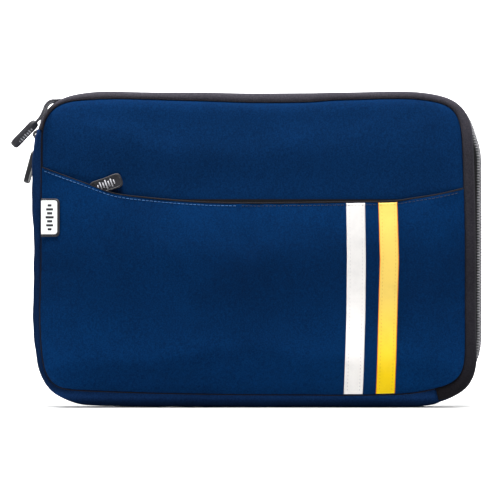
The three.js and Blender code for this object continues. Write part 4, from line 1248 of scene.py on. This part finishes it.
rad = math.radians
pinA = np.array([-129.5 - 1.6, CHAIN_Y, 232.6 + 3.35])
endA = pinA + np.array([-8.5 * math.cos(rad(12)), 0, -8.5 * math.sin(rad(12))])
make("upper_cord", *braided([(endA[0] - 1.7, CHAIN_Y - 0.4, endA[2] - 0.5), (-146, -3, 232.4), (-151, -7.6, 231.7), (-154.6, -12, 231.2), (-157.4, -15.4, 228.6), (-159.4, -17.6, 223.6), (-161.8, -18.5, 219.2), (-165.3, -18.6, 215.6)], 1.15, twin=0.85), CORD, "top_tab", ("top_pull_cord",), "pull_cord")
aB = rad(155)
bB = aB - math.pi / 2
pinB = np.array([-134.8 + (25.6 + 3.35) * math.cos(aB) - 1.6 * math.cos(bB), CHAIN_Y, 207.0 + (25.6 + 3.35) * math.sin(aB) - 1.6 * math.sin(bB)])
endB = pinB + np.array([-6.6 * math.cos(rad(68)), 0, -6.6 * math.sin(rad(68))])
make("lower_cord", *braided([(endB[0] - 0.7, CHAIN_Y + 0.3, endB[2] - 1.6), (-168.0, 4, 208.6), (-169.2, 9.5, 207.2), (-168.2, 14.6, 205), (-167.8, 17.5, 201), (-168.9, 17.8, 197), (-169.25, 17.7, 194.9)], 1.15), CORD, "corner_tab", ("corner_pull_cord",), "pull_cord")
pinP = np.array([-124 - 1.6 * 0.72, -14.1 - 3.35 * 0.72, 150.8])
ex = pinP[0] - 8.5 * 0.72
make("pocket_cord", *braided([(ex - 1.3, pinP[1], 151.0), (ex - 2.6, pinP[1] + 0.3, 154.0), (ex - 1.6, -16, 159.8), (-124.8, -15.7, 164.05)], 1.0), CORD, "pocket_tab", ("pocket_pull_cord",), "pull_cord")

# ------------------------------------------------------------------ setting
def plane_floor():
    """Pale floor that curves up into a backdrop."""
    rows = []
    prof = [(-4.0, 0.0), (-2.0, 0.0), (-0.6, 0.0), (0.2, 0.0), (0.6, 0.0), (0.9, 0.0), (1.2, 0.0), (1.6, 0.03), (1.95, 0.16), (2.2, 0.42), (2.3, 0.8), (2.3, 4.0)]
    prof = catmull(prof, 8)
    for x in (-5.0, 5.0):
        rows.append([(x * 1000, y * 1000, z * 1000) for y, z in prof])
    v, f = loft(rows, closed_ring=False, caps=False)
    return v, f


nfl = Nodes("pale_floor")
nfl.set(Roughness=0.75, Specular_IOR_Level=0.2)
floor_mat = nfl.wire(nfl.mix(nfl.math("MULTIPLY", nfl.noise(3.0, 3), 0.05), (0.51, 0.51, 0.51), (0.485, 0.485, 0.49)), None, nfl.bump(nfl.noise(90, 3), 0.05, 0.0005))
fl = make("floor", *plane_floor(), floor_mat)

world = bpy.data.worlds.new("studio")
scene.world = world
world.use_nodes = True
world.node_tree.nodes["Background"].inputs[0].default_value = (1, 1, 1, 1)
world.node_tree.nodes["Background"].inputs[1].default_value = 0.08


def area(name, loc, target, size, power, color=(1, 1, 1)):
    d = bpy.data.lights.new(name, "AREA")
    d.shape = "RECTANGLE"
    d.size, d.size_y = size
    d.energy = power
    d.color = color
    o = bpy.data.objects.new(name, d)
    scene.collection.objects.link(o)
    o.location = loc
    o.rotation_euler = (Vector(target) - Vector(loc)).to_track_quat("-Z", "Y").to_euler()
    return o


area("key", (-0.15, -0.5, 1.95), (0, 0, 0.12), (1.6, 0.6), 96)
area("left", (-1.9, -0.45, 0.5), (0, 0, 0.12), (0.5, 1.4), 7)
area("right", (1.9, -0.45, 0.5), (0, 0, 0.12), (0.5, 1.4), 7.5)
area("behind", (0.2, 1.3, 1.5), (0, 0, 0.12), (1.4, 0.7), 3)
area("back_wash", (0, 1.0, 1.9), (0, 2.2, 0.6), (3.0, 0.8), 220)

scene.view_settings.view_transform = "Standard"
scene.view_settings.look = "None"
